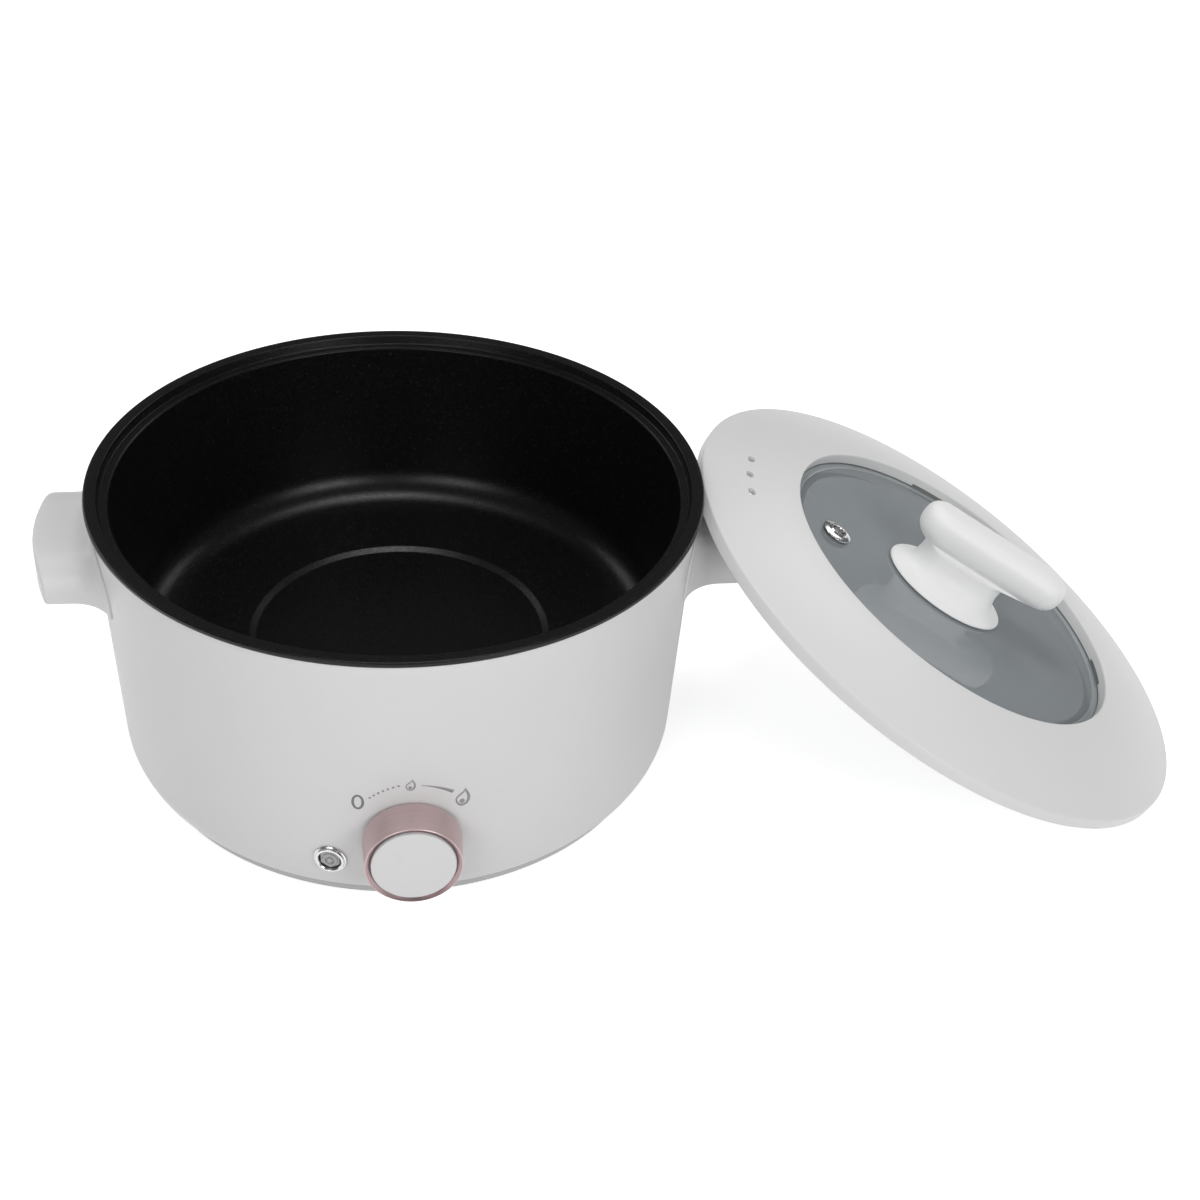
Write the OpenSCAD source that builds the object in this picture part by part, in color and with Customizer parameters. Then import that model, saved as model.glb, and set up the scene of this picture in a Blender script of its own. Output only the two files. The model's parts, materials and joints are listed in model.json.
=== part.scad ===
// Electric hot pot with a loose lid, in millimetres.
// Z is up, the table is z = 0, the pot's axis is Z and its control knob faces -Y.
// The lid is off the pot and leans against its +X side.

/* [Pot] */
// Outside diameter of the black rim
rim_d = 280; // [276:1:284]
// Height of the rim above the table
pot_h = 144; // [142:1:146]
// Height of the cooking floor above the table
floor_z = 57; // [56.5:0.5:58]
// Radius of the sunken disc in the cooking floor
disc_r = 72; // [66:1:78]
// Radius of the curve between cooking wall and floor
pot_fillet = 16; // [14:1:17]
// Wall of the cooking vessel
pot_t = 2.3; // [2:0.1:2.6]

/* [Outer shell] */
// Wall of the plastic shell
shell_t = 2.4; // [2:0.1:2.6]
// How much the shell widens for each millimetre of height
draft = 0.05; // [0.04:0.005:0.06]
// Radius of the shell's rounded foot
foot_curve = 20; // [18:1:22]
// Sweep of the shell's rounded foot, in degrees
foot_sweep = 57; // [52:1:60]
// Height of the shell's lower edge above the table
shell_z = 6; // [5.5:0.5:6.5]

/* [Handles] */
// Reach of the handles from the pot's axis
handle_reach = 164; // [160:1:168]
// Width of a handle along the wall
handle_w = 77; // [70:1:80]
// Height of a handle's top face
handle_top = 123; // [121:1:123]
// Thickness of a handle
handle_h = 17.6; // [16.6:0.2:18]
// Radius of a handle's curved end, seen from above
handle_end_r = 106; // [90:2:160]
// Wall of a handle
handle_t = 2.6; // [2.2:0.1:2.8]
// How far the root of a handle flares out along the wall
handle_flare = 9; // [6:1:10]

/* [Control knob] */
// Height of the knob's axis
knob_z = 43.5; // [43:0.5:44.5]
// Diameter of the knob at the wall
knob_d = 43.2; // [40:0.2:44]
// Length of the knob
knob_l = 16.3; // [15:0.1:18]
// Diameter of the knob's white face
face_d = 36.6; // [34:0.2:37]
// Bearing of the indicator lamp, in degrees from the knob
lamp_bearing = -15.5; // [-17:0.5:-15]
// Height of the indicator lamp
lamp_z = 29; // [28:0.5:30]

/* [Lid] */
// Outside diameter of the lid
lid_d = 277.6; // [276:0.2:279]
// Diameter of the window in the lid
window_d = 181.8; // [180:0.2:184]
// Rise of the lid from its edge to the window
lid_rise = 12.4; // [12:0.2:13.6]
// Height of the lid's outer skirt
skirt_h = 5.8; // [5.2:0.1:6]
// Thickness of the lid's plastic frame
lid_t = 2.6; // [2.2:0.1:2.8]
// Thickness of the glass
glass_t = 4; // [3.6:0.1:4]
// Crown of the glass over the window's radius
glass_crown = 1; // [0.4:0.1:1.4]

/* [Lid grip] */
// Length of the grip bar
grip_l = 81.6; // [76:0.2:86]
// Width of the grip bar
grip_w = 24.8; // [22:0.2:27]
// Thickness of the grip bar
grip_t = 17.6; // [15:0.2:19]
// Height of the grip above the glass
grip_h = 35.9; // [34:0.1:38]
// Overhang of the bar's middle past the neck, towards the lid's low edge
grip_overhang = 8.2; // [0:0.2:9]
// Length of the grip's oval flange
flange_l = 64.6; // [60:0.2:66]
// Width of the grip's oval flange
flange_w = 50.8; // [46:0.2:54]
// Place of the grip along the lid's slope, from the lid's axis
grip_x = -3.3; // [-4:0.1:0]

/* [Rest pose] */
// Slope of the leaning lid, in degrees
lean = 29.1; // [28.8:0.1:29.4]
// Compass turn of the direction in which the lid leans, in degrees
lean_turn = -5.7; // [-7:0.1:-4]
// Turn of the frame about the lid's own axis, in degrees
frame_turn = -3; // [-8:0.1:0]
// Turn of the glass about the lid's own axis, in degrees
glass_turn = 0.5; // [-4:0.1:2]
// Turn of the grip about the lid's own axis, in degrees
grip_turn = -10; // [-14:0.5:0]

/* [Hidden] */

$fn = 96;
white = [0.86, 0.86, 0.85];
black = [0.06, 0.06, 0.06];
steel = [0.72, 0.72, 0.72];
gap = 0.1;
big = 400;

// Points on an arc about [r, z], from angle a to angle b in n steps.
function arc(r, z, radius, a, b, n) =
    [for (i = [0:n]) [r + radius * cos(a + (b - a) * i / n), z + radius * sin(a + (b - a) * i / n)]];

function shift(points, dr, dz) = [for (p = points) [p[0] + dr, p[1] + dz]];

function reversed(points) = [for (i = [len(points) - 1:-1:0]) points[i]];

module ring(r_out, r_in, h) {
    difference() {
        cylinder(r = r_out, h = h);
        translate([0, 0, -1]) cylinder(r = r_in, h = h + 2);
    }
}

// Children stand at radius r and bearing a, with their +X pointing outwards.
module round_pot(a, r) {
    rotate([0, 0, a]) translate([r, 0, 0]) children();
}

// Children's +Z points along -Y, out of the front of the pot.
module facing_front(z) {
    translate([0, 0, z]) rotate([90, 0, 0]) children();
}

// ---- The shell's wall ----
rim_r = rim_d / 2;
shell_top_r = rim_r - 2.4;
flange_t = 2.5;
gasket_t = 0.7;
flange_z = pot_h - flange_t;
shell_top_z = flange_z - gasket_t;
draft_a = atan(draft);
foot_centre_z = shell_z + foot_curve * sin(foot_sweep);
function wall_r(z) = shell_top_r - (shell_top_z - z) * draft;
foot_centre_r = wall_r(foot_centre_z - foot_curve * sin(draft_a)) - foot_curve * cos(draft_a);
foot_r = foot_centre_r + foot_curve * cos(foot_sweep);

// Outline of the shell's outside, from its top edge to its lower edge, moved inwards by t.
function shell_outline(t) = concat(
    [[shell_top_r - t, shell_top_z]],
    arc(foot_centre_r, foot_centre_z, foot_curve - t, -draft_a, -foot_sweep, 12));

// Everything inside the shell's outer face, grown by g.
module wall_solid(g) {
    rotate_extrude()
        polygon(concat([[0, shell_top_z + 20], [shell_top_r + g + 20 * draft, shell_top_z + 20]],
                       shift(shell_outline(0), g, 0), [[0, shell_z]]));
}

// ---- The cooking vessel ----
disc_drop = 1.6;
ledge_z = pot_h - 4.4;
ledge_in_r = rim_r - 10.2;
ledge_out_r = rim_r - 6.8;
lip_r = rim_r - 5.6;
ledge_t = 1.6;
pot_wall_top_r = rim_r - 10.8;
pot_wall_low_r = rim_r - 15;
fillet_r0 = pot_wall_low_r - pot_fillet;
fillet_z0 = floor_z + pot_fillet;
pad_r = 96;
pad_z = floor_z - 3.8;

module inner_pot() {
    inside = concat(
        [[0, floor_z - disc_drop], [disc_r - 4, floor_z - disc_drop], [disc_r, floor_z - disc_drop + 0.3],
         [disc_r + 4, floor_z - 0.2], [disc_r + 6, floor_z]],
        arc(fillet_r0, fillet_z0, pot_fillet, -90, -4, 12),
        [[pot_wall_top_r, ledge_z - 0.8], [ledge_in_r, ledge_z], [ledge_out_r, ledge_z + 0.2],
         [lip_r, pot_h - 0.7], [lip_r + 0.9, pot_h], [rim_r - 1, pot_h], [rim_r - 0.3, pot_h - 0.3],
         [rim_r, pot_h - 1]]);
    outside = concat(
        [[rim_r, flange_z + 0.5], [rim_r - 0.5, flange_z], [ledge_out_r + ledge_t, flange_z],
         [ledge_out_r + ledge_t, ledge_z - pot_t], [pot_wall_top_r + pot_t, ledge_z - pot_t - 1]],
        reversed(arc(fillet_r0, fillet_z0, pot_fillet + pot_t, -90, -4, 12)),
        [[pad_r + 1.5, fillet_z0 - pot_fillet - pot_t], [pad_r, pad_z], [0, pad_z]]);
    color(black) rotate_extrude() polygon(concat(inside, outside));
}

module rim_gasket() {
    color("white") translate([0, 0, shell_top_z]) ring(shell_top_r - 0.2, shell_top_r - 2.1, gasket_t);
}

// ---- Handles ----
handle_low = handle_top - handle_h;
handle_screw_y = 20;
handle_screw_z = handle_low + 8.6;
handle_round = handle_h - 1;
root_x = wall_r(handle_low) - 10;
flare_l = 13;
hollow_gap = 4;
hollow_x = wall_r(handle_low) + hollow_gap;

// Points across a handle's width, closer together at its edges.
cross_n = 16;
function across(half) = [for (j = [0:cross_n]) half * sin(90 * (2 * j / cross_n - 1))];

// Height of a handle's upper face at y: flat in the middle, a quarter circle at each edge.
function crest(y, half, top, r) = top - r + sqrt(max(0, r * r - pow(max(0, abs(y) - half + r), 2)));

function on_wall(y, z, d) = sqrt(pow(wall_r(z) + d, 2) - y * y);
function end_x(y) = handle_reach - handle_end_r + sqrt(pow(handle_end_r, 2) - y * y);

// Rings across a handle are [distance, half width, lowest height, highest height, edge radius]. The distance
// is from the wall, or from the curved end where end is true.
function handle_ring(s, end) =
    let (ys = across(s[1]), n = len(ys),
         flat = [for (y = ys) [y, s[2]]],
         round = [for (k = [n - 1:-1:0]) [ys[k], crest(ys[k], s[1], s[3], s[4])]])
    [for (p = concat(flat, round)) [end ? end_x(p[0]) - s[0] : on_wall(p[0], p[1], s[0]), p[0], p[1]]];

// A closed solid through the rings, with curved first and last faces.
module handle_loft(rings) {
    n = cross_n + 1;
    m = 2 * n;
    last = len(rings) - 1;
    sides = [for (k = [0:last - 1], i = [0:m - 1]) let (j = (i + 1) % m)
        each [[k * m + i, (k + 1) * m + i, (k + 1) * m + j], [k * m + i, (k + 1) * m + j, k * m + j]]];
    first_cap = [for (i = [0:n - 2]) let (j = m - 1 - i)
        each [[i, i + 1, j - 1], [i, j - 1, j]]];
    last_cap = [for (i = [0:n - 2]) let (j = m - 1 - i, o = last * m)
        each [[o + i, o + j - 1, o + i + 1], [o + i, o + j, o + j - 1]]];
    polyhedron(points = [for (r = rings) each r], faces = concat(sides, first_cap, last_cap), convexity = 6);
}

// A trumpet root on the wall, then a straight body with a softened outer edge.
module handle_form() {
    steps = 4;
    half = handle_w / 2;
    edge = 1.2;
    root = [for (k = [0:steps]) let (a = 90 * k / steps, spread = handle_flare * (1 - sin(a)))
        [flare_l * (1 - cos(a)), half + spread, handle_low - spread * 0.3, handle_top + spread * 0.3,
         handle_round]];
    inner = [-8, root[0][1], root[0][2], root[0][3], handle_round];
    handle_loft(concat(
        [handle_ring(inner, false)],
        [for (s = root) handle_ring(s, false)],
        [handle_ring([edge, half, handle_low, handle_top, handle_round], true),
         handle_ring([edge * 0.3, half - edge * 0.3, handle_low + edge * 0.3, handle_top - edge * 0.3,
                      handle_round - edge * 0.3], true),
         handle_ring([0, half - edge, handle_low + edge, handle_top - edge, handle_round - edge], true)]));
}

// The finger hollow, open below.
module handle_hollow() {
    half = handle_w / 2 - handle_t;
    top = handle_top - handle_t;
    r = handle_round - handle_t;
    below = handle_low - 10;
    handle_loft([handle_ring([hollow_gap, half, below, top, r], false),
                 handle_ring([handle_t, half, below, top, r], true)]);
}

module handle() {
    boss_r = 4;
    boss_end_x = 152;
    rib_t = 1.8;
    rib_h = 8;
    screw_end_x = 149;
    color(white) difference() {
        union() {
            difference() {
                handle_form();
                handle_hollow();
            }
            // Ribs across the hollow
            for (y = [-30, -10, 10, 30]) {
                rib_top = crest(abs(y) + rib_t, handle_w / 2, handle_top, handle_round) - 0.5;
                translate([hollow_x - 1, y - rib_t / 2, rib_top - rib_h])
                    cube([end_x(y) - handle_t / 2 - hollow_x + 1, rib_t, rib_h]);
            }
            // Screw bosses
            for (y = [-handle_screw_y, handle_screw_y])
                translate([root_x, y, handle_screw_z]) rotate([0, 90, 0])
                    cylinder(r = boss_r, h = boss_end_x - root_x);
        }
        wall_solid(gap);
        for (y = [-handle_screw_y, handle_screw_y])
            translate([root_x, y, handle_screw_z]) rotate([0, 90, 0])
                cylinder(r = 1.95, h = screw_end_x - root_x);
    }
}

module handle_right() { handle(); }

module handle_left() { mirror([1, 0, 0]) handle(); }

module handle_screws() {
    head_x = sqrt(pow(wall_r(handle_screw_z) - shell_t, 2) - pow(handle_screw_y + 3.2, 2)) - 1.9;
    color(steel) for (side = [-1, 1], y = [-handle_screw_y, handle_screw_y])
        translate([side * head_x, y, handle_screw_z]) rotate([0, side * 90, 0]) {
            cylinder(r = 3.2, h = 1.8);
            cylinder(r = 1.9, h = 147 - head_x);
        }
}

// ---- Shell ----
shaft_hole_r = 4.2;
thermo_screw_x = 14;
lamp_hole_r = 5.6;
inlet_z = 33;
inlet_w = 33;
inlet_tall = 24;

// Children's +Z points outwards along the lamp's axis.
module at_lamp() {
    rotate([0, 0, lamp_bearing]) translate([0, -wall_r(lamp_z), lamp_z]) rotate([90, 0, 0]) children();
}

module outer_shell() {
    lip_in = foot_r - 5.5;
    color(white) difference() {
        rotate_extrude()
            polygon(concat(shell_outline(0), [[lip_in, shell_z], [lip_in, shell_z + shell_t]],
                           reversed(shell_outline(shell_t))));
        facing_front(knob_z) cylinder(r = shaft_hole_r, h = big);
        for (x = [-thermo_screw_x, thermo_screw_x])
            translate([x, 0, 0]) facing_front(knob_z) cylinder(r = 1.8, h = big);
        at_lamp() translate([0, 0, -20]) cylinder(r = lamp_hole_r, h = 40);
        translate([-inlet_w / 2 - gap, 100, inlet_z - inlet_tall / 2 - gap])
            cube([inlet_w + 2 * gap, 60, inlet_tall + 2 * gap]);
        for (x = [-inlet_screw_x, inlet_screw_x])
            translate([x, 100, inlet_z]) rotate([-90, 0, 0]) cylinder(r = 1.6, h = 60);
        for (y = [-handle_screw_y, handle_screw_y])
            translate([-big / 2, y, handle_screw_z]) rotate([0, 90, 0]) cylinder(r = 2.1, h = big);
    }
}

// ---- Base ----
base_z = 1.4;
base_r = foot_r - 0.5;
base_t = 2.4;
spigot_r = foot_r - 5.8;
pillar_r = 50;
pillar_a = [30, 150, 270];
pillar_z = 15;
shield_z = 39.2;
shield_t = 0.8;
foot_ring_r = 98;
foot_a = [45, 135, 225, 315];
vent_count = 24;

module base_cover() {
    color([0.74, 0.74, 0.74]) difference() {
        union() {
            translate([0, 0, base_z]) rotate_extrude()
                polygon([[0, 0], [base_r - 1, 0], [base_r, 1], [base_r, shell_z - base_z - 0.4],
                         [spigot_r, shell_z - base_z - 0.4], [spigot_r, 9], [spigot_r - 2.2, 9],
                         [spigot_r - 2.2, base_t], [0, base_t]]);
            for (a = pillar_a) round_pot(a, pillar_r) translate([0, 0, base_z])
                cylinder(r = 8, h = pillar_z - base_z);
            // Stiffening ribs between the centre and the spigot
            for (a = pillar_a) rotate([0, 0, a + 60]) translate([12, -1, base_z])
                cube([spigot_r - 14, 2, 6]);
            translate([0, 0, base_z]) ring(14, 12, 6);
        }
        for (a = pillar_a) round_pot(a, pillar_r) {
            translate([0, 0, -1]) cylinder(r = 2.3, h = 30);
            translate([0, 0, -1]) cylinder(r = 4.6, h = 9);
        }
        for (a = foot_a) round_pot(a, foot_ring_r) {
            translate([0, 0, -1]) cylinder(r = 8.6, h = 3.2);
            translate([0, 0, -1]) cylinder(r = 3.05, h = 8);
        }
        // Cooling slots
        for (i = [0:vent_count - 1]) if (i % 8 > 0) rotate([0, 0, 360 * i / vent_count - 30])
            translate([72, -1.5, -1]) cube([16, 3, 8]);
    }
}

module rubber_feet() {
    color([0.16, 0.16, 0.16]) for (a = foot_a) round_pot(a, foot_ring_r) {
        translate([0, 0, 0.6]) cylinder(r = 8.5, h = 1.5);
        cylinder(r1 = 7.9, r2 = 8.5, h = 0.6);
        translate([0, 0, 2]) cylinder(r = 3, h = 2.8);
    }
}

module base_screws() {
    color(steel) for (a = pillar_a) round_pot(a, pillar_r) difference() {
        union() {
            translate([0, 0, 5.4]) cylinder(r = 4, h = 2.6);
            translate([0, 0, 7.5]) cylinder(r = 2, h = 20);
        }
        // Cross recess
        for (q = [0, 90]) rotate([0, 0, q]) translate([-2.2, -0.5, 5]) cube([4.4, 1, 1.6]);
    }
}

module support_pillars() {
    color(steel) for (a = pillar_a) round_pot(a, pillar_r) difference() {
        translate([0, 0, pillar_z]) cylinder(r = 5.2, h = shield_z - pillar_z, $fn = 6);
        translate([0, 0, pillar_z - 1]) cylinder(r = 2.05, h = 14);
        translate([0, 0, shield_z - 9]) cylinder(r = 2.55, h = 10);
    }
}

module pot_studs() {
    color(steel) for (a = pillar_a) round_pot(a, pillar_r)
        translate([0, 0, shield_z - 8]) cylinder(r = 2.5, h = plate_z + 3 - shield_z + 8);
}

// ---- Heating ----
plate_r = 88;
plate_t = 6.8;
plate_z = pad_z - plate_t;
tube_ring_r = 68;
tube_r = 4;
tube_z = plate_z;
tube_gap = 18;
tube_bend = 7;
elbow_lap = 4;
cold_l = 6;

module heating_plate() {
    color([0.66, 0.66, 0.68]) difference() {
        union() {
            translate([0, 0, plate_z]) cylinder(r = plate_r, h = plate_t);
            for (a = pillar_a) round_pot(a, pillar_r)
                translate([0, 0, shield_z + shield_t]) cylinder(r = 6, h = plate_z - shield_z);
        }
        translate([0, 0, tube_z]) rotate_extrude()
            translate([tube_ring_r, 0]) circle(r = tube_r + 0.05, $fn = 32);
        for (a = pillar_a) round_pot(a, pillar_r)
            translate([0, 0, shield_z]) cylinder(r = 2.55, h = plate_z + 3.2 - shield_z);
        translate([0, 0, plate_z - 1]) cylinder(r = 20, h = 4);
    }
}

// Children stand at the tube's two ends at the back, +Y pointing into the gap between them.
module tube_ends() {
    for (s = [0, 1]) mirror([s, 0, 0]) rotate([0, 0, 90 - tube_gap])
        translate([tube_ring_r, 0, tube_z]) children();
}

// The ring ends in two elbows that turn down into the cold ends.
module heating_tube() {
    color([0.45, 0.44, 0.43]) {
        translate([0, 0, tube_z]) rotate([0, 0, 90 + tube_gap])
            rotate_extrude(angle = 360 - 2 * tube_gap)
                translate([tube_ring_r, 0]) circle(r = tube_r, $fn = 32);
        tube_ends() translate([0, 0, -tube_bend]) {
            rotate([90, 0, 90]) rotate([0, 0, -elbow_lap]) rotate_extrude(angle = 90 + 2 * elbow_lap)
                translate([tube_bend, 0]) circle(r = tube_r - 0.1, $fn = 32);
            translate([0, tube_bend, -cold_l]) cylinder(r = tube_r, h = cold_l, $fn = 32);
        }
    }
}

module tube_terminals() {
    color(steel) tube_ends() translate([0, tube_bend, -tube_bend - cold_l]) {
        translate([0, 0, -3]) cylinder(r = 2.6, h = 3);
        translate([0, 0, -6]) cylinder(r = 1.2, h = 4);
        translate([-0.4, -3.15, -12]) cube([0.8, 6.3, 7.5]);
    }
}

module heat_shield() {
    rim_h = 5;
    r = 96;
    color([0.8, 0.8, 0.82]) difference() {
        translate([0, 0, shield_z]) rotate_extrude()
            polygon([[0, 0], [r, 0], [r + 1, rim_h], [r + 3, rim_h], [r + 3, rim_h + shield_t],
                     [r + 1 - shield_t, rim_h + shield_t], [r - shield_t, shield_t], [0, shield_t]]);
        for (a = pillar_a) round_pot(a, pillar_r) translate([0, 0, shield_z - 1]) cylinder(r = 2.6, h = 3);
        tube_ends() translate([0, tube_bend, -20]) cylinder(r = 5.5, h = 18);
        translate([0, 0, shield_z - 1]) cylinder(r = 13, h = 3);
    }
}

module thermal_fuse() {
    color("silver") translate([-8, 0, plate_z + 0.4]) rotate([0, 90, 0]) {
        cylinder(r = 2.4, h = 16);
        translate([0, 0, -7]) cylinder(r = 0.5, h = 30);
    }
}

module fuse_clip() {
    color(steel) difference() {
        union() {
            translate([-5, -3.4, plate_z - 2.8]) cube([10, 6.8, 5.6]);
            translate([-5, -12, plate_z + 2.2]) cube([10, 24, 0.8]);
        }
        translate([-20, 0, plate_z + 0.4]) rotate([0, 90, 0]) cylinder(r = 2.45, h = 40);
    }
}

// ---- Control knob and thermostat ----
knob_back_y = wall_r(knob_z + knob_d / 2) + 0.4;
knob_front_y = knob_back_y + knob_l;
knob_front_r = knob_d / 2 - 1;
shaft_r = 3;
hub_r = 6.5;
thermo_front_y = wall_r(knob_z) - shell_t - 2;
thermo_l = 20;
thermo_r = 10.5;

module thermostat_body() {
    bore_z = thermo_front_y - thermo_l + 6;
    color([0.85, 0.8, 0.7]) difference() {
        union() {
            facing_front(knob_z) translate([0, 0, thermo_front_y - thermo_l])
                cylinder(r = thermo_r, h = thermo_l - 1);
            // Mounting strap
            translate([-19, -thermo_front_y, knob_z - 5]) cube([38, 1.2, 10]);
            // Blade terminals
            for (x = [-6, 6])
                translate([x - 0.4, -thermo_front_y + thermo_l - 0.5, knob_z - 9.3]) cube([0.8, 8, 6.3]);
        }
        facing_front(knob_z) translate([0, 0, bore_z]) cylinder(r = shaft_r + 0.05, h = big);
        for (x = [-thermo_screw_x, thermo_screw_x])
            translate([x, 0, 0]) facing_front(knob_z) cylinder(r = 1.5, h = big);
    }
}

module thermostat_screws() {
    head_r = 2.6;
    head_y = sqrt(pow(wall_r(knob_z + head_r), 2) - pow(thermo_screw_x - head_r, 2)) + 0.02;
    color(steel) for (x = [-thermo_screw_x, thermo_screw_x])
        translate([x, 0, 0]) facing_front(knob_z) {
            translate([0, 0, head_y]) cylinder(r = head_r, h = 1.1);
            translate([0, 0, thermo_front_y - 3.5]) cylinder(r = 1.45, h = head_y - thermo_front_y + 4);
        }
}

module thermostat_shaft() {
    shaft_z = thermo_front_y - thermo_l + 7;
    color(steel) facing_front(knob_z) difference() {
        translate([0, 0, shaft_z]) cylinder(r = shaft_r, h = knob_front_y - 4 - shaft_z);
        // Flat for the hub
        translate([-shaft_r, 1.8, knob_back_y + 2]) cube([2 * shaft_r, 4, 20]);
    }
}

module knob_hub() {
    color(white) facing_front(knob_z) difference() {
        union() {
            translate([0, 0, knob_back_y + 1]) cylinder(r = hub_r, h = knob_l - 4.2);
            translate([0, 0, knob_front_y - 3.2]) cylinder(r = face_d / 2 - 0.2, h = 1.6);
            for (q = [0:60:300]) rotate([0, 0, q]) translate([hub_r - 1, -0.8, knob_front_y - 9])
                cube([face_d / 2 - hub_r, 1.6, 6.5]);
        }
        translate([0, 0, knob_back_y]) cylinder(r = shaft_r + 0.05, h = knob_l - 3.9);
    }
}

module knob_ring() {
    t = 1.5;
    color([0.72, 0.62, 0.63]) facing_front(knob_z) translate([0, 0, knob_back_y]) rotate_extrude()
        polygon([[knob_d / 2, 0.4], [knob_front_r, knob_l - 0.9], [knob_front_r - 0.7, knob_l],
                 [face_d / 2 + 0.15, knob_l - 0.3], [face_d / 2 + 0.15, knob_l - 4],
                 [knob_front_r - t, knob_l - 4], [knob_d / 2 - t, 0], [knob_d / 2 - 0.4, 0]]);
}

// The face's pointer groove aims at the off mark, up and to the left.
module knob_face() {
    pointer_a = 135;
    color(white) facing_front(knob_z) translate([0, 0, knob_front_y - 1.5]) difference() {
        rotate_extrude()
            polygon([[0, 0], [face_d / 2, 0], [face_d / 2, 1.1], [face_d / 2 - 0.5, 1.5], [0, 1.8]]);
        rotate([0, 0, pointer_a]) translate([5.5, -0.5, 1.3]) cube([8, 1, 1]);
    }
}

// ---- Indicator lamp ----
module lamp_bezel() {
    color(steel) at_lamp() rotate_extrude()
        polygon([[4.7, -9], [5.5, -9], [5.5, 0.35], [7.4, 0.35], [7.4, 0.8], [6.9, 1.7], [6.1, 2.2],
                 [5.4, 1.9], [4.9, 1.2], [4.7, 0.4]]);
}

module lamp_lens() {
    color([0.8, 0.82, 0.83]) at_lamp() {
        translate([0, 0, -5]) cylinder(r = 4.2, h = 5.6, $fn = 6);
        translate([0, 0, 0.6]) cylinder(r1 = 3.4, r2 = 2.2, h = 0.7);
    }
}

module lamp_holder() {
    color([0.3, 0.3, 0.3]) at_lamp() difference() {
        union() {
            translate([0, 0, -19]) cylinder(r = 4.6, h = 13.9);
            translate([0, 0, -11]) cylinder(r = 7.5, h = 1.9);
            for (x = [-2, 2]) translate([x - 0.4, -1.5, -25]) cube([0.8, 3, 7]);
        }
        translate([0, 0, -9]) cylinder(r = 2.5, h = 5);
    }
}

// ---- Power inlet ----
inlet_face_y = wall_r(inlet_z + 15) + 1.6;
inlet_back_y = 112;
inlet_screw_x = 20.5;
inlet_mouth = [27, 19];
inlet_depth = 16;

module inlet_housing() {
    flange = [50, 30];
    mouth_w = inlet_mouth[0] / 2;
    mouth_h = inlet_mouth[1] / 2;
    cut = 5;
    color([0.2, 0.2, 0.2]) difference() {
        union() {
            translate([-inlet_w / 2, inlet_back_y, inlet_z - inlet_tall / 2])
                cube([inlet_w, inlet_face_y - inlet_back_y, inlet_tall]);
            difference() {
                translate([0, inlet_face_y, inlet_z]) rotate([90, 0, 0]) linear_extrude(8) offset(r = 4)
                    square([flange[0] - 8, flange[1] - 8], center = true);
                wall_solid(0.02);
            }
        }
        translate([0, inlet_face_y + 1, inlet_z]) rotate([90, 0, 0]) linear_extrude(inlet_depth + 1)
            polygon([[-mouth_w, -mouth_h], [mouth_w, -mouth_h], [mouth_w, mouth_h - cut],
                     [mouth_w - cut, mouth_h], [cut - mouth_w, mouth_h], [-mouth_w, mouth_h - cut]]);
        for (x = [-inlet_screw_x, inlet_screw_x])
            translate([x, 100, inlet_z]) rotate([-90, 0, 0]) {
                cylinder(r = 1.6, h = 60);
                translate([0, 0, inlet_face_y - 100 - 1.2]) cylinder(r = 2.9, h = 5);
            }
        pins() translate([-2.05, 0, -1.05]) cube([4.1, 30, 2.1]);
    }
}

// Line and neutral side by side, earth above them in the middle.
module pins() {
    for (p = [[-7, -2], [7, -2], [0, 2]]) translate([p[0], inlet_back_y - 1, inlet_z + p[1]]) children();
}

module inlet_pins() {
    color("goldenrod") pins() {
        translate([-2, 1.1, -1]) cube([4, inlet_face_y - inlet_back_y - 2, 2]);
        translate([-2, -8, -0.4]) cube([4, 10, 0.8]);
    }
}

module inlet_screws() {
    color(steel) for (x = [-inlet_screw_x, inlet_screw_x])
        translate([x, inlet_face_y - 1.2, inlet_z]) rotate([-90, 0, 0]) {
            cylinder(r = 2.8, h = 1.1);
            translate([0, 0, -9]) cylinder(r = 1.5, h = 9.1);
        }
}

// ---- Lid, in its own frame: the axis is Z and z = 0 is its upper outer edge ----
lid_r = lid_d / 2;
window_r = window_d / 2;
low_z = skirt_h * cos(lean) + lid_r * sin(lean) + 0.08;
lean_gap = 0.35;
lean_x = wall_r(2 * lid_r * sin(lean)) + lean_gap + lid_r * cos(lean) + skirt_h * sin(lean);
lean_y = -12.3;

// The lid leans on the pot, its low edge on the table.
module leaning() {
    translate([lean_x, lean_y, low_z]) rotate([0, 0, lean_turn]) rotate([0, lean, 0]) children();
}

seat_z = 6.6;
glass_edge_r = window_r + 4.3;
glass_mid_z = 6.9;
rib_r = 97.5;
frame_bulge = 1.6;
clip_ring_in = 84;
clip_ring_out = 108;
screw_ring_r = 104;
locating_r = 128.5;
eyelet_r = 67;
vent_r = 116.6;
vent_a = 178;
notch_w = 21;
notch_top_z = 8.1;
notch_depth = 1.6;

function glass_top(r) = glass_mid_z - glass_crown * pow(r / window_r, 2);

// Top of the frame from its outer edge, t = 0, to the window's edge, t = 1.
function frame_top(t) = [lid_r - 0.9 + (window_r + 1 - lid_r + 0.9) * t,
                         0.5 + (lid_rise - 0.6) * t + 4 * frame_bulge * t * (1 - t)];

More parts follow.
